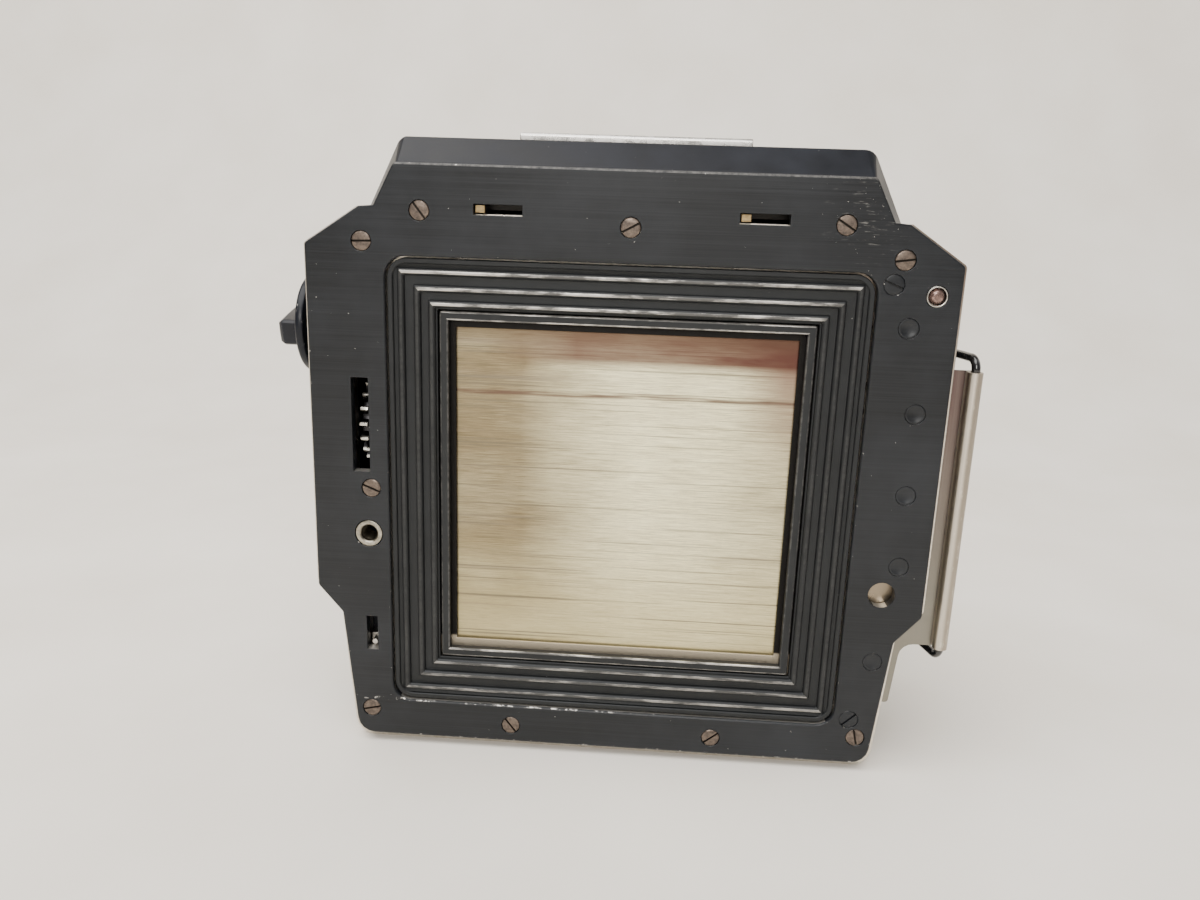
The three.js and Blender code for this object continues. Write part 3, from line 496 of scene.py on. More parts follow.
FINISHES = {
    "plate_black": painted_plate(),
    "matte_black": matte_black("anti_glare_black", 0.0085, 0.80),
    # Below z 19.9 mm the gate lip fades to light brown: a painted highlight on its lower strip.
    "dark_bronze": tarnished("dark_bronze", (0.010, 0.0088, 0.0078), (0.004, 0.0037, 0.0034), 0.46,
                             (2, 20.3, 19.9, (0.40, 0.35, 0.27))),
    "satin_slide": brushed_slide(),
    "bright_rim": brushed_metal("bright_rim", (0.82, 0.77, 0.69), (0.56, 0.51, 0.44), (1.2, 1.2, 1.2),
                                0.30, 0.003, (((0.20, 0.135, 0.10), RIM_CORNER, 26.0, 1.0),
                                              # Behind the round hole the flange is tinted darker and browner:
                                              # painted shade and a painted warm reflection inside the hole.
                                              ((0.27, 0.225, 0.165), ROUND_HOLE, 4.5, 4.0))),
    "gloss_black": gloss_enamel(),
    # Deeper than 0.28 mm behind the head's face the screws fade to near black: painted shade in their slots.
    "tarnished_steel": tarnished("tarnished_steel", (0.188, 0.148, 0.121), (0.062, 0.049, 0.042), 0.40,
                                 (1, SCREW_FACE + 0.28, SCREW_FACE + 0.42, (0.016, 0.013, 0.010))),
    "steel": brushed_metal("machined_steel", (0.56, 0.545, 0.51), (0.38, 0.365, 0.34), (0.12, 3.0, 3.0),
                           0.30, 0.006),
    "copper_steel": tarnished("copper_steel", (0.30, 0.20, 0.175), (0.115, 0.075, 0.066), 0.26),
    "case_black": satin_black("case_enamel", (0.0065, 0.0080, 0.0125), 0.36),
    "knob_black": satin_black("knob_enamel", (0.0080, 0.0095, 0.0140), 0.30, 0.62),
    "chrome": mirror_chrome("satin_chrome", (0.66, 0.65, 0.63), 0.24),
    # Deeper than 0.5 mm behind the latch bar's front it fades to near black: painted shade inside the plate's
    # slots.
    "brass": tarnished("dull_brass", (0.46, 0.34, 0.17), (0.24, 0.17, 0.085), 0.34,
                       (1, LATCH_FRONT + 0.5, LATCH_FRONT + 0.9, (0.045, 0.042, 0.040))),
    "spool_plastic": moulded_plastic("spool_plastic", 0.014),
    "dial_plastic": moulded_plastic("dial_plastic", 0.012),
    "felt": plush(),
    "leatherette": leathercloth(),
    "clear_window": clear_window(),
}

PIECE_FINISHES = {"drive_gear": gear_steel(), "threaded_bush": bush_steel()}


# ---------------------------------------------------------------- mesh helpers

ROUND_ANGLE = math.radians(34)
SHARP_ANGLE = math.radians(30)
# The wear of an opening's lower wall, which faces up and is bare.
CUT_WALL = 2.0


def in_scene(name, data):
    """A new object in the scene that shows the data."""
    made = bpy.data.objects.new(name, data)
    bpy.context.scene.collection.objects.link(made)
    return made


def new_solid(source=None):
    """An empty bmesh, or one of a mesh, that can mark worn faces."""
    bm = bmesh.new()
    if source:
        bm.from_mesh(source)
    bm.faces.layers.float.new("wear")
    return bm


def to_piece(bm, node, worn=()):
    """Makes a piece from a bmesh; it stands for the CAD node, rides with it and takes its finish."""
    layer = bm.faces.layers.float["wear"]
    for face in worn:
        face[layer] = max(face[layer], 1.0)
    for face in bm.faces:
        face.smooth = True
    mesh = bpy.data.meshes.new(f"{node}_detail")
    bm.to_mesh(mesh)
    bm.free()
    mesh.set_sharp_from_angle(angle=ROUND_ANGLE)
    piece = in_scene(f"{node}_detail", mesh)
    shading = piece.modifiers.new("even_shading", "WEIGHTED_NORMAL")
    shading.keep_sharp = True
    shading.weight = 80
    piece.data.materials.append(PIECE_FINISHES.get(node, FINISHES[NODE_SLOT[node]]))
    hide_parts(node)
    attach(piece, NODE_BODY[node])
    return piece


def cad_solid(node):
    """The CAD node's solid with its flat faces whole again."""
    bm = new_solid(frame["nodes"][node].data)
    bmesh.ops.remove_doubles(bm, verts=bm.verts, dist=0.002 * MM)
    bmesh.ops.dissolve_limit(bm, angle_limit=math.radians(0.5), verts=bm.verts, edges=bm.edges)
    return bm


def eased(node, radius):
    """The CAD node with its sharp edges eased to a small radius in millimetres."""
    bm = cad_solid(node)
    sharp = [e for e in bm.edges if len(e.link_faces) == 2 and e.calc_face_angle(0.0) > SHARP_ANGLE]
    made = bmesh.ops.bevel(bm, geom=sharp, offset=radius * MM, offset_type="OFFSET", segments=3,
                           profile=0.5, affect="EDGES", clamp_overlap=False)
    return to_piece(bm, node, worn=made["faces"])


def flat_loops(node, level):
    """The outlines of a node's flat face at a Y level: lists of (x, z), with the solid on their left."""
    bm = bmesh.new()
    bm.from_mesh(frame["nodes"][node].data)
    bmesh.ops.remove_doubles(bm, verts=bm.verts, dist=0.002 * MM)
    flat = [f for f in bm.faces if all(abs(v.co.y - level) < 0.004 * MM for v in f.verts)]
    following = {}
    for face in flat:
        for loop in face.loops:
            if sum(other in flat for other in loop.edge.link_faces) == 1:
                following[loop.vert.index] = loop.link_loop_next.vert
    bm.verts.ensure_lookup_table()
    loops = []
    while following:
        start, vert = following.popitem()
        points = [bm.verts[start].co]
        while vert.index != start:
            points.append(vert.co)
            vert = following.pop(vert.index)
        loops.append([(p.x, p.z) for p in points])
    bm.free()
    largest = max(loops, key=lambda loop: abs(loop_area(loop)))
    if loop_area(largest) < 0:
        loops = [loop[::-1] for loop in loops]
    return [without_straights(loop) for loop in loops]


def loop_area(loop):
    return sum(a[0] * b[1] - b[0] * a[1] for a, b in zip(loop, loop[1:] + loop[:1])) / 2


def without_straights(loop):
    """The loop without points that lie on a straight line between their neighbours."""
    kept = []
    for before, here, after in zip(loop[-1:] + loop[:-1], loop, loop[1:] + loop[:1]):
        one = Vector(here) - Vector(before)
        two = Vector(after) - Vector(here)
        if one.length > 1e-6 and two.length > 1e-6 and abs(one.normalized().cross(two.normalized())) > 0.01:
            kept.append(here)
    return kept


def inset(loop, distance):
    """The loop moved into the material by a distance."""
    moved = []
    for before, here, after in zip(loop[-1:] + loop[:-1], loop, loop[1:] + loop[:1]):
        one = (Vector(here) - Vector(before)).normalized()
        two = (Vector(after) - Vector(here)).normalized()
        left = Vector((-one.y - two.y, one.x + two.x))
        left *= distance / max(0.35, left.length_squared / 2)
        moved.append((here[0] + left.x, here[1] + left.y))
    return moved


def run_of(loop, index):
    """The direction of an outline from its point index to the next."""
    return (Vector(loop[(index + 1) % len(loop)]) - Vector(loop[index])).normalized()


def skin(bm, rings):
    """Makes the faces between each ring and the next. Returns (face, ring's index, place in it) for each."""
    made = []
    for k, (ring, next_ring) in enumerate(zip(rings, rings[1:])):
        for i in range(len(ring)):
            j = (i + 1) % len(ring)
            made.append((bm.faces.new((ring[i], ring[j], next_ring[j], next_ring[i])), k, i))
    return made


def slab(loops, front, back, radii, bright_floor=False, side_wear=1.0):
    """A plate with rounded rims: loops are its outlines, radii each outline's rim radius in millimetres.
    bright_floor marks the lower walls of its openings as bare. side_wear is the wear of upright rims."""
    bm = new_solid()
    layer = bm.faces.layers.float["wear"]
    largest = max(loops, key=lambda loop: abs(loop_area(loop)))
    worn = []
    rim_front, rim_back = [], []
    steps = 3
    turns = [math.pi / 2 * k / steps for k in range(steps + 1)]
    for loop, radius in zip(loops, radii):
        size = min(radius * MM, (back - front) / 2.2)
        levels = [(size * (1 - math.sin(t)), front + size * (1 - math.cos(t))) for t in turns]
        levels += [(size * (1 - math.sin(t)), back - size * (1 - math.cos(t))) for t in reversed(turns)]
        rings = [[bm.verts.new((x, y, z)) for x, z in inset(loop, depth)] for depth, y in levels]
        for face, k, i in skin(bm, rings):
            run = run_of(loop, i)
            if k < steps and side_wear < 1.0 and abs(run.y) > 0.8:
                face[layer] = side_wear
            elif k < steps:
                worn.append(face)
            elif bright_floor and loop is not largest and run.x < -0.8:
                face[layer] = CUT_WALL
        rim_front.append(rings[0])
        rim_back.append(rings[-1])
    for rims in (rim_front, rim_back):
        flat = [[Vector((v.co.x, v.co.z, 0)) for v in ring] for ring in rims]
        verts = [v for ring in rims for v in ring]
        for triangle in tessellate_polygon(flat):
            if len(set(triangle)) == 3:
                bm.faces.new([verts[i] for i in triangle])
    bmesh.ops.recalc_face_normals(bm, faces=bm.faces)
    return bm, worn


def pressed(node, radius, small_radius=0.08, big=20.0, **options):
    """A flat CAD node as a plate with rounded rims; outlines up to big (mm) long get the small radius."""
    low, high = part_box(node)
    loops = flat_loops(node, low.y)
    lengths = [sum((Vector(a) - Vector(b)).length for a, b in zip(q, q[1:] + q[:1])) for q in loops]
    radii = [radius if length > big * MM else small_radius for length in lengths]
    bm, worn = slab(loops, low.y, high.y, radii, **options)
    return to_piece(bm, node, worn=worn)


def rounded_square(half, radius, steps=6):
    """The corner points of a rounded square round the opening's centre, in row X and Z."""
    points = []
    for quarter in range(4):
        for k in range(steps + 1):
            angle = math.pi / 2 * (quarter + k / steps)
            corner = Vector((half - radius, half - radius))
            corner.rotate(Matrix.Rotation(math.pi / 2 * quarter, 2))
            points.append(corner + Vector((math.cos(angle), math.sin(angle))) * radius)
    return points


def near_end(node, axis):
    """The middle of a turned piece's end where its axis, 0 for X and 1 for Y, starts."""
    low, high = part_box(node)
    middle = Vector([(a + b) / 2 for a, b in zip(low, high)])
    middle[axis] = low[axis]
    return middle


def turned_size(node, axis=0):
    """A turned piece's radius and its length along an axis, 0 for X and 1 for Y, in millimetres."""
    low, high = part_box(node)
    return (high[1 - axis] - low[1 - axis]) / 2 * PER_MM, (high[axis] - low[axis]) * PER_MM


def turned_piece(node, profile, steps, axis=0, worn=True, ridges=None):
    """A closed turned solid, its eased edges worn. The profile is (radius, distance) in millimetres, from
    axis to axis or once round. ridges is (count, depth, first point, last point) of a knurled stretch."""
    centre = near_end(node, axis)
    along = Vector([float(k == axis) for k in range(3)])
    side = along.orthogonal().normalized()
    other = along.cross(side)
    bm = new_solid()
    rings = []
    for index, (radius, distance) in enumerate(profile):
        middle = centre + along * distance * MM
        if radius < 1e-6:
            rings.append([bm.verts.new(middle)])
            continue
        ring = []
        for k in range(steps):
            angle = 2 * math.pi * k / steps
            reach = radius
            if ridges and ridges[2] <= index <= ridges[3]:
                reach -= ridges[1] * (0.5 - 0.5 * math.cos(ridges[0] * angle))
            outward = side * math.cos(angle) + other * math.sin(angle)
            ring.append(bm.verts.new(middle + outward * reach * MM))
        rings.append(ring)
    for ring, next_ring in zip(rings, rings[1:]):
        for k in range(steps):
            j = (k + 1) % steps
            if len(ring) == 1:
                bm.faces.new((ring[0], next_ring[j], next_ring[k]))
            elif len(next_ring) == 1:
                bm.faces.new((ring[k], ring[j], next_ring[0]))
            else:
                bm.faces.new((ring[k], ring[j], next_ring[j], next_ring[k]))
    bmesh.ops.recalc_face_normals(bm, faces=bm.faces)
    if profile[0] == profile[-1]:
        bmesh.ops.remove_doubles(bm, verts=bm.verts, dist=0.001 * MM)
    bm.normal_update()
    return to_piece(bm, node, worn=[f for f in bm.faces if worn and 0.12 < abs(f.normal[axis]) < 0.97])


# ---------------------------------------------------------------- mating face

def make_baffle():
    """Rounded ribs on a stepped floor, drawn round the square opening."""
    low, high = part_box("light_baffle")
    centre_z = (low.z + high.z) / 2
    half = (high.x - low.x) / 2 * PER_MM
    back = (high.y - PLATE_FRONT) * PER_MM
    crest, floor, border = 0.35, 1.1, 0.5
    profile = [(half, 3.0, back), (half, 3.0, border + 0.12), (half - 0.10, 2.9, border),
               (half - 0.68, 2.35, border), (half - 0.82, 2.2, border + 0.12),
               (half - 0.9, 1.4, floor - 0.15)]
    crests = []
    for middle in (36.0, 33.4, 31.05):
        profile.append((middle + 0.80, 0.40, floor))
        crests.append(len(profile) + 3)
        for k in range(9):
            angle = math.pi * k / 8
            reach = 0.62 * math.cos(angle)
            lift = (floor - crest) * math.sin(angle) ** 0.8
            profile.append((middle + reach, 0.22, floor - lift))
        profile.append((middle - 0.82, 0.12, floor + 0.05))
    inner = 30.2
    profile += [(inner + 0.06, 0.2, floor), (inner, 0.2, floor + 0.08), (inner, 0.2, back)]
    bm = new_solid()
    layer = bm.faces.layers.float["wear"]
    rings = []
    for size, radius, depth in profile:
        points = rounded_square(size, radius)
        rings.append([bm.verts.new((p.x * MM, PLATE_FRONT + depth * MM, centre_z + p.y * MM))
                      for p in points])
    for face, k, i in skin(bm, rings + rings[:1]):
        # Crests on the top side get full wear, on the bottom side less and on the upright sides almost none:
        # rubbed metal plus a painted highlight where the light from above falls.
        if k in crests or k - 1 in crests:
            middle = (rings[k][i].co + rings[k][(i + 1) % len(rings[k])].co) / 2
            upright = abs(middle.x) > abs(middle.z - centre_z)
            face[layer] = 0.03 if upright else (1.0 if middle.z > centre_z else 0.6)
    bmesh.ops.recalc_face_normals(bm, faces=bm.faces)
    to_piece(bm, "light_baffle")


SLOT_DEPTH = 0.45
SLOT_WIDTH = 0.34


def slot_turn(node):
    """The angle of a screw's slot, from its CAD floor, or None for a plain head."""
    low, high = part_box(node)
    floor_y = low.y + SLOT_DEPTH * MM
    floor = [v.co for v in frame["nodes"][node].data.vertices if abs(v.co.y - floor_y) < 0.02 * MM]
    if len(floor) < 4:
        return None
    centre = Vector(((low.x + high.x) / 2, (low.z + high.z) / 2))
    far = max(floor, key=lambda p: (Vector((p.x, p.z)) - centre).length)
    near_side = [p for p in floor if Vector((p.x - far.x, p.z - far.z)).length < 0.6 * MM]
    middle = sum((Vector((p.x, p.z)) for p in near_side), Vector((0, 0))) / len(near_side)
    return math.atan2(middle.y - centre.y, middle.x - centre.x)


def make_screw(node):
    """A cheese-headed screw with eased rim and a cut slot, or a filled rivet head."""
    head, length = turned_size(node, 1)
    if NODE_SLOT[node] == "plate_black":
        head += 0.08
    profile = [(0, 0.0), (head - 0.3, 0.0), (head - 0.14, 0.03), (head - 0.04, 0.10), (head, 0.22),
               (head, 0.95), (0.75, 1.0), (0.75, length), (0, length)]
    turn = slot_turn(node)
    if turn is None:
        profile[:3] = [(0, 0.10), (head - 0.55, 0.10), (head - 0.42, 0.02), (head - 0.2, 0.0),
                       (head - 0.08, 0.03)]
    piece = turned_piece(node, profile, 40, 1)
    if turn is None:
        return
    cutter = bmesh.new()
    bmesh.ops.create_cube(cutter, size=1.0)
    bmesh.ops.scale(cutter, verts=cutter.verts, vec=(2.6 * head * MM, 2 * SLOT_DEPTH * MM, SLOT_WIDTH * MM))
    bmesh.ops.rotate(cutter, verts=cutter.verts, matrix=Matrix.Rotation(-turn, 3, "Y"))
    bmesh.ops.translate(cutter, verts=cutter.verts, vec=near_end(node, 1))
    cut_slot(piece, cutter)


def cut_slot(piece, cutter):
    """Cuts the cutter out of the piece for good."""
    mesh = bpy.data.meshes.new("cutter")
    cutter.to_mesh(mesh)
    cutter.free()
    tool = in_scene("cutter", mesh)
    modifier = piece.modifiers.new("slot", "BOOLEAN")
    modifier.operation = "DIFFERENCE"
    modifier.object = tool
    modifier.solver = "EXACT"
    bpy.context.view_layer.objects.active = piece
    piece.modifiers.move(1, 0)
    bpy.ops.object.modifier_apply(modifier="slot")
    bpy.data.objects.remove(tool)
    piece.data.set_sharp_from_angle(angle=ROUND_ANGLE)


def make_threaded_bush():
    rim, length = turned_size("threaded_bush", 1)
    profile = [(rim - 0.25, 0.0), (rim - 0.08, 0.06), (rim, 0.25), (rim, 0.95), (rim - 0.3, 1.0),
               (rim - 0.3, length), (1.35, length)]
    pitch = 0.4
    for k in range(int((length - 0.8) / pitch), -1, -1):
        profile += [(1.22, 0.6 + pitch * (k + 0.5)), (1.36, 0.6 + pitch * k)]
    profile += [(1.40, 0.25), (1.62, 0.02), (rim - 0.25, 0.0)]
    turned_piece("threaded_bush", profile, 48, 1)


def make_pin():
    """A domed pin in a polished ring."""
    outer, depth = turned_size("pin_bush", 1)
    profile = [(1.34, 0.12), (1.42, 0.02), (outer - 0.12, 0.0), (outer - 0.02, 0.05), (outer, 0.2),
               (outer, depth), (1.34, depth), (1.34, 0.12)]
    turned_piece("pin_bush", profile, 48, 1)
    radius, length = turned_size("interlock_pin", 1)
    profile = [(0, 0.0), (0.5, 0.01), (0.74, 0.05), (0.86, 0.13), (0.95, 0.30), (radius - 0.16, 0.52),
               (radius - 0.05, 0.68), (radius, 0.85), (radius, length), (0, length)]
    turned_piece("interlock_pin", profile, 40, 1, worn=False)


# ---------------------------------------------------------------- dark slide

def make_dark_slide():
    """A sheet whose edge is rolled into an open tube."""
    low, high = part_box("dark_slide")
    sheet_back = high.y
    thick = 0.45 * MM
    tube_radius = 1.2 * MM
    centre_x = high.x - tube_radius
    centre_y = low.y + tube_radius
    loops = flat_loops("dark_slide", sheet_back)
    bm, worn = slab(loops, sheet_back - thick, sheet_back, [0.1] * len(loops))
    bottom = min(p[1] for p in loops[0] if p[0] > centre_x - 3 * tube_radius)
    top = max(p[1] for p in loops[0] if p[0] > centre_x - 2 * tube_radius)
    steps = 36
    rings = []
    for k in range(steps + 1):
        angle = math.pi / 2 - 2 * math.pi * 0.90 * k / steps
        inner, outer = tube_radius - 0.4 * MM, tube_radius
        ring = []
        for radius, height, trim in ((outer, bottom, 0.1), (outer, top, -0.1),
                                     (inner, top, -0.02), (inner, bottom, 0.02)):
            x = centre_x + radius * math.cos(angle)
            y = centre_y + radius * math.sin(angle)
            ring.append(bm.verts.new((x, y, height + trim * MM)))
        rings.append(ring)
    skin(bm, rings)
    for ring in (rings[0], rings[-1]):
        bm.faces.new(ring)
    bmesh.ops.recalc_face_normals(bm, faces=bm.faces)
    to_piece(bm, "dark_slide", worn=worn)


def make_bail():
    """A wire bail bent from round rod, its ends inside the slide's tube."""
    low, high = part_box("slide_bail")
    hinge = Vector(JOINTS["bail_fold"]["pos_m"])
    radius = 0.71 * MM
    far = Vector((low.x + radius, high.y - radius))
    origin = Vector((hinge.x, hinge.y))
    back = (far - origin).normalized()
    reach = (far - origin).length
    leg = (high.z - low.z) / 2 - radius
    middle = (high.z + low.z) / 2
    bend = 1.8 * MM
    half = [(0.0, leg - 8 * MM)]
    angles = [math.pi / 2 * k / 8 for k in range(9)]
    half += [(bend * (1 - math.cos(a)), leg - bend + bend * math.sin(a)) for a in angles]
    half += [(reach - bend + bend * math.sin(a), leg - bend + bend * math.cos(a)) for a in angles]
    route = half + [(away, -height) for away, height in reversed(half)]
    curve = bpy.data.curves.new("bail_route", "CURVE")
    curve.dimensions = "3D"
    spline = curve.splines.new("POLY")
    spline.points.add(len(route) - 1)
    for point, (away, height) in zip(spline.points, route):
        spot = origin + back * away
        point.co = (spot.x, spot.y, middle + height, 1.0)
    curve.bevel_depth = radius
    curve.bevel_resolution = 5
    curve.use_fill_caps = True
    holder = in_scene("bail_route", curve)
    bpy.context.view_layer.update()
    mesh = bpy.data.meshes.new_from_object(holder.evaluated_get(bpy.context.evaluated_depsgraph_get()))
    bpy.data.objects.remove(holder)
    bm = new_solid(mesh)
    bmesh.ops.remove_doubles(bm, verts=bm.verts, dist=0.001 * MM)
    bmesh.ops.recalc_face_normals(bm, faces=bm.faces)
    to_piece(bm, "slide_bail")


# ---------------------------------------------------------------- knobs, spools and rollers

GRIP_LEAN = 13.0
GRIP_END = 2.35
GRIP_WAIST = 2.45


def make_winding_knob():
    """A smooth disc with a rounded rim and a shallow turned step on its outer face."""
    radius, depth = turned_size("winding_knob")
    profile = [(0, 0.12), (radius - 1.5, 0.12), (radius - 1.35, 0.0), (radius - 0.55, 0.0)]
    profile += [(radius - 0.55 + 0.55 * math.sin(t), 0.55 - 0.55 * math.cos(t)) for t in
                (math.pi / 2 * k / 5 for k in range(1, 6))]
    profile += [(radius, depth - 0.35), (radius - 0.12, depth - 0.1), (radius - 0.4, depth), (0, depth)]
    turned_piece("winding_knob", profile, 120)


def make_grip():
    """A waisted bar across the knob; its outer edges have a broad bevel."""
    low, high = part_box("knob_grip")
    middle = box_centre("winding_knob")
    lean = math.radians(GRIP_LEAN)
    half_length = 6.2
    outline = []
    for side in (1, -1):
        for k in range(7):
            angle = math.pi * k / 6 - math.pi / 2
            corner = 0.9
            up = math.copysign(GRIP_END - corner, math.sin(angle)) if abs(math.sin(angle)) > 1e-6 else 0.0
            outline.append((side * (half_length - corner + corner * math.cos(angle)),
                            side * (up + corner * math.sin(angle))))
        outline.append((side * 2.2, side * GRIP_WAIST))
        outline.append((side * -2.2, side * GRIP_WAIST))
    turned = []
    for away, up in outline:
        turned.append(((away * math.cos(lean) - up * math.sin(lean)) * MM + middle.y,
                       (away * math.sin(lean) + up * math.cos(lean)) * MM + middle.z))
    bm = new_solid()
    levels = [(0.85, low.x), (0.55, low.x + 0.12 * MM), (0.12, low.x + 0.72 * MM), (0.0, low.x + 1.0 * MM),
              (0.0, high.x - 0.05 * MM), (0.05, high.x)]
    rings = [[bm.verts.new((x, p[0], p[1])) for p in inset(turned, depth * MM)] for depth, x in levels]
    worn = [face for face, k, _ in skin(bm, rings) if k in (0, 2)]
    bm.faces.new(rings[0])
    bm.faces.new(rings[-1])
    bmesh.ops.recalc_face_normals(bm, faces=bm.faces)
    to_piece(bm, "knob_grip", worn=worn)


def make_collar():
    radius, depth = turned_size("winding_collar")
    profile = [(2.6, 0.0), (6.1, 0.0), (6.45, 0.08), (6.7, 0.35), (6.7, depth - 1.6), (6.85, depth - 1.1),
               (radius, depth - 0.25), (radius, depth), (2.6, depth), (2.6, 0.0)]
    turned_piece("winding_collar", profile, 96)


def make_spool(node):
    """A moulded spool: a core between dished flanges, with a round socket sunk in each end."""
    radius, length = turned_size(node)
    edge_x, plate = 1.2, 0.32
    profile = [(2.45, 4.0), (2.45, 0.25), (2.75, 0.0), (radius - 0.3, 0.0), (radius, 0.25),
               (radius, edge_x - 0.3), (radius - 0.3, edge_x), (5.4, edge_x + plate), (4.6, edge_x + 1.4)]
    mirror = [(r, length - x) for r, x in reversed(profile)]
    turned_piece(node, [(0, 4.0)] + profile + mirror + [(0, length - 4.0)], 72)


def make_roller(node):
    radius, length = turned_size(node)
    neck = 1.5
    profile = [(0, 0.0), (0.5, 0.0), (0.6, 0.1), (0.6, neck), (radius - 0.12, neck), (radius, neck + 0.15)]
    mirror = [(r, length - x) for r, x in reversed(profile)]
    turned_piece(node, profile + mirror, 40)


def make_pull(node):
    """A knurled pull knob on its sprung pin."""
    radius, length = turned_size(node)
    head = length - 1.7
    profile = [(0, 0.0), (2.0, 0.0), (2.3, 0.3), (2.3, 7.4), (1.5, 7.5), (1.5, head), (radius - 0.35, head),
               (radius, head + 0.35), (radius, length - 0.45), (radius - 0.25, length - 0.15),
               (radius - 0.55, length - 0.15), (radius - 0.75, length - 0.5), (radius - 0.95, length - 0.5)]
    profile += [(radius - 1.1, length - 0.05), (0.9, length), (0.75, length - 0.3), (0, length - 0.3)]
    turned_piece(node, profile, 192, ridges=(48, 0.16, 7, 9))


def make_pin_rod(node):
    radius, length = turned_size(node)
    profile = [(0, 0.0), (radius - 0.15, 0.0), (radius, 0.15), (radius, length - 0.15),
               (radius - 0.15, length), (0, length)]
    turned_piece(node, profile, 40, worn=False)


def make_latch():
    """The door latch's strip with finger grooves cut along its top."""
    piece = eased("door_latch", 0.15)
    low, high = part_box("door_latch")
    groove, pitch, count = 0.5 * MM, 1.2 * MM, 5
    length = (high.x - low.x) - 9.0 * MM
    middle = low.y + 4.15 * MM
    cutter = bmesh.new()
    for k in range(count):
        made = bmesh.ops.create_cube(cutter, size=1.0)["verts"]
        bmesh.ops.scale(cutter, verts=made, vec=(length, groove, groove * 1.2))
        offset = (k - (count - 1) / 2) * pitch
        bmesh.ops.translate(cutter, verts=made, vec=((low.x + high.x) / 2, middle + offset, high.z))
    cut_slot(piece, cutter)


def make_window():
    radius, length = turned_size("counter_window")
    profile = [(0, 0.0), (radius * 0.6, 0.04), (radius - 0.15, 0.12), (radius, 0.3), (radius, length),
               (0, length)]
    turned_piece("counter_window", profile, 48, worn=False)


# ---------------------------------------------------------------- assembly

pressed("front_plate", 0.35, 0.1, big=60.0, bright_floor=True)
make_baffle()
pressed("aperture_frame", 0.28, side_wear=0.12)
pressed("gate_lip", 0.1)
pressed("film_gate", 0.2)
pressed("pressure_plate", 0.2)
for screw in sorted(node for node in NODE_BODY if node.startswith(("plate_screw", "painted_screw"))):
    make_screw(screw)
make_threaded_bush()
make_pin()
make_dark_slide()
make_bail()
make_winding_knob()
make_grip()
make_collar()
for make, pair in ((make_spool, ("take_up_spool", "supply_spool")),
                   (make_roller, ("film_roller_upper", "film_roller_lower")),
                   (make_pull, ("spool_pull_upper", "spool_pull_lower")),
                   (make_pin_rod, ("hinge_pin", "winding_shaft"))):
    for member in pair:
        make(member)
make_window()
make_latch()

EASED = {
    "mount_flange": 0.15, "housing": 0.2, "top_cover": 0.22, "rear_door": 0.2, "side_cover": 0.18,
    "door_leatherette": 0.12, "side_leatherette": 0.12, "latch_bar": 0.08,
    "door_keeper": 0.12, "winding_gear": 0.06, "drive_gear": 0.05, "counter_dial": 0.08,
    "counter_reset_pin": 0.06, "film_insert_frame": 0.12, "pressure_spring_left": 0.08,
    "pressure_spring_right": 0.08, "supply_pivot": 0.1, "light_trap_felt": 0.15,
}
for node, radius in EASED.items():
    eased(node, radius)


# ---------------------------------------------------------------- stage, lights and camera

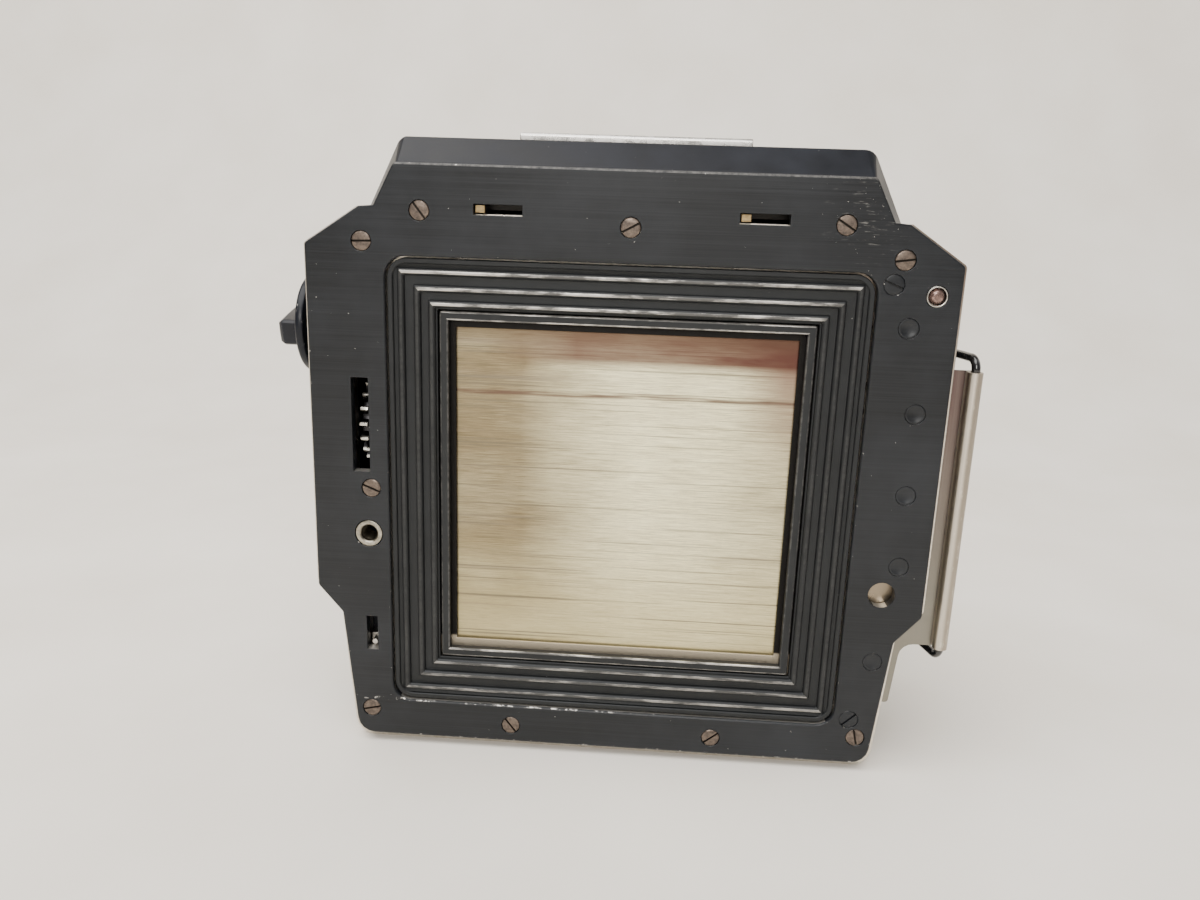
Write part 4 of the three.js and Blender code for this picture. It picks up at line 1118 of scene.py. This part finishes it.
def make_backdrop():
    """A pale sheet that runs back under the object and curves up behind it."""
    tree, finished = surface("backdrop", Roughness=0.85)
    weave = noise(tree, 0.02, 4.0, 0.5)
    tone = blend(tree, ramp(tree, weave, 0.3, 0.7), (0.86, 0.815, 0.745), (0.93, 0.895, 0.835))
    half_width, front, bend_start, bend_radius, top = 1.6, -1.2, 0.20, 0.25, 1.6
    line = [(front, 0.0), (bend_start, 0.0)]
    for k in range(1, 17):
        angle = math.pi / 2 * k / 16
        line.append((bend_start + bend_radius * math.sin(angle), bend_radius * (1 - math.cos(angle))))
    line.append((bend_start + bend_radius, top))
    bm = bmesh.new()
    rows = [[bm.verts.new((x, y, z)) for x in (-half_width, half_width)] for y, z in line]
    for row, next_row in zip(rows, rows[1:]):
        bm.faces.new((row[0], row[1], next_row[1], next_row[0])).smooth = True
    mesh = bpy.data.meshes.new("backdrop")
    bm.to_mesh(mesh)
    bm.free()
    mesh.materials.append(finished(Base_Color=tone))
    sheet = in_scene("backdrop", mesh)


LIT_PLACE = Vector((0.0, 0.0, 0.05))


def make_light(name, place_m, size, power, colour):
    data = bpy.data.lights.new(name, "AREA")
    data.shape = "RECTANGLE"
    data.size, data.size_y = size
    data.energy = power
    data.color = colour
    light = in_scene(name, data)
    light.location = place_m
    light.rotation_euler = (LIT_PLACE - Vector(place_m)).to_track_quat("-Z", "Y").to_euler()


def make_camera():
    data = bpy.data.cameras.new("camera")
    data.lens = 28.3
    data.sensor_width = 36.0
    data.clip_start = 0.005
    camera = in_scene("camera", data)
    right = Vector((0.9975, 0.0628, 0.0334))
    ahead = Vector((-0.0527, 0.9681, -0.2448))
    up = right.cross(ahead).normalized()
    turn = Matrix((right, up, -ahead)).transposed().to_4x4()
    camera.matrix_world = Matrix.Translation((0.00465, -0.15181, 0.09303)) @ turn
    bpy.context.scene.camera = camera


make_backdrop()
make_light("overhead", (-0.20, -0.25, 0.80), (0.9, 0.7), 12.0, (1.0, 0.97, 0.93))
make_light("front_lamp", (-0.04, -0.90, 0.42), (0.34, 0.34), 5.0, (1.0, 0.96, 0.90))
make_light("right_rim", (0.70, 0.10, 0.40), (0.3, 0.6), 0.9, (0.97, 0.98, 1.0))


def make_world():
    """A soft room: light above, dimmer at the level of the table."""
    world = bpy.data.worlds.new("studio")
    world.use_nodes = True
    tree = world.node_tree
    direction = add(tree, "ShaderNodeTexCoord").outputs["Generated"]
    upward = add(tree, "ShaderNodeSeparateXYZ", Vector=direction).outputs[2]
    sky = blend(tree, ramp(tree, upward, -0.1, 0.7), (0.30, 0.285, 0.27), (0.95, 0.93, 0.90))
    tree.links.new(sky, tree.nodes["Background"].inputs["Color"])
    tree.nodes["Background"].inputs["Strength"].default_value = 0.42
    bpy.context.scene.world = world


make_world()
make_camera()
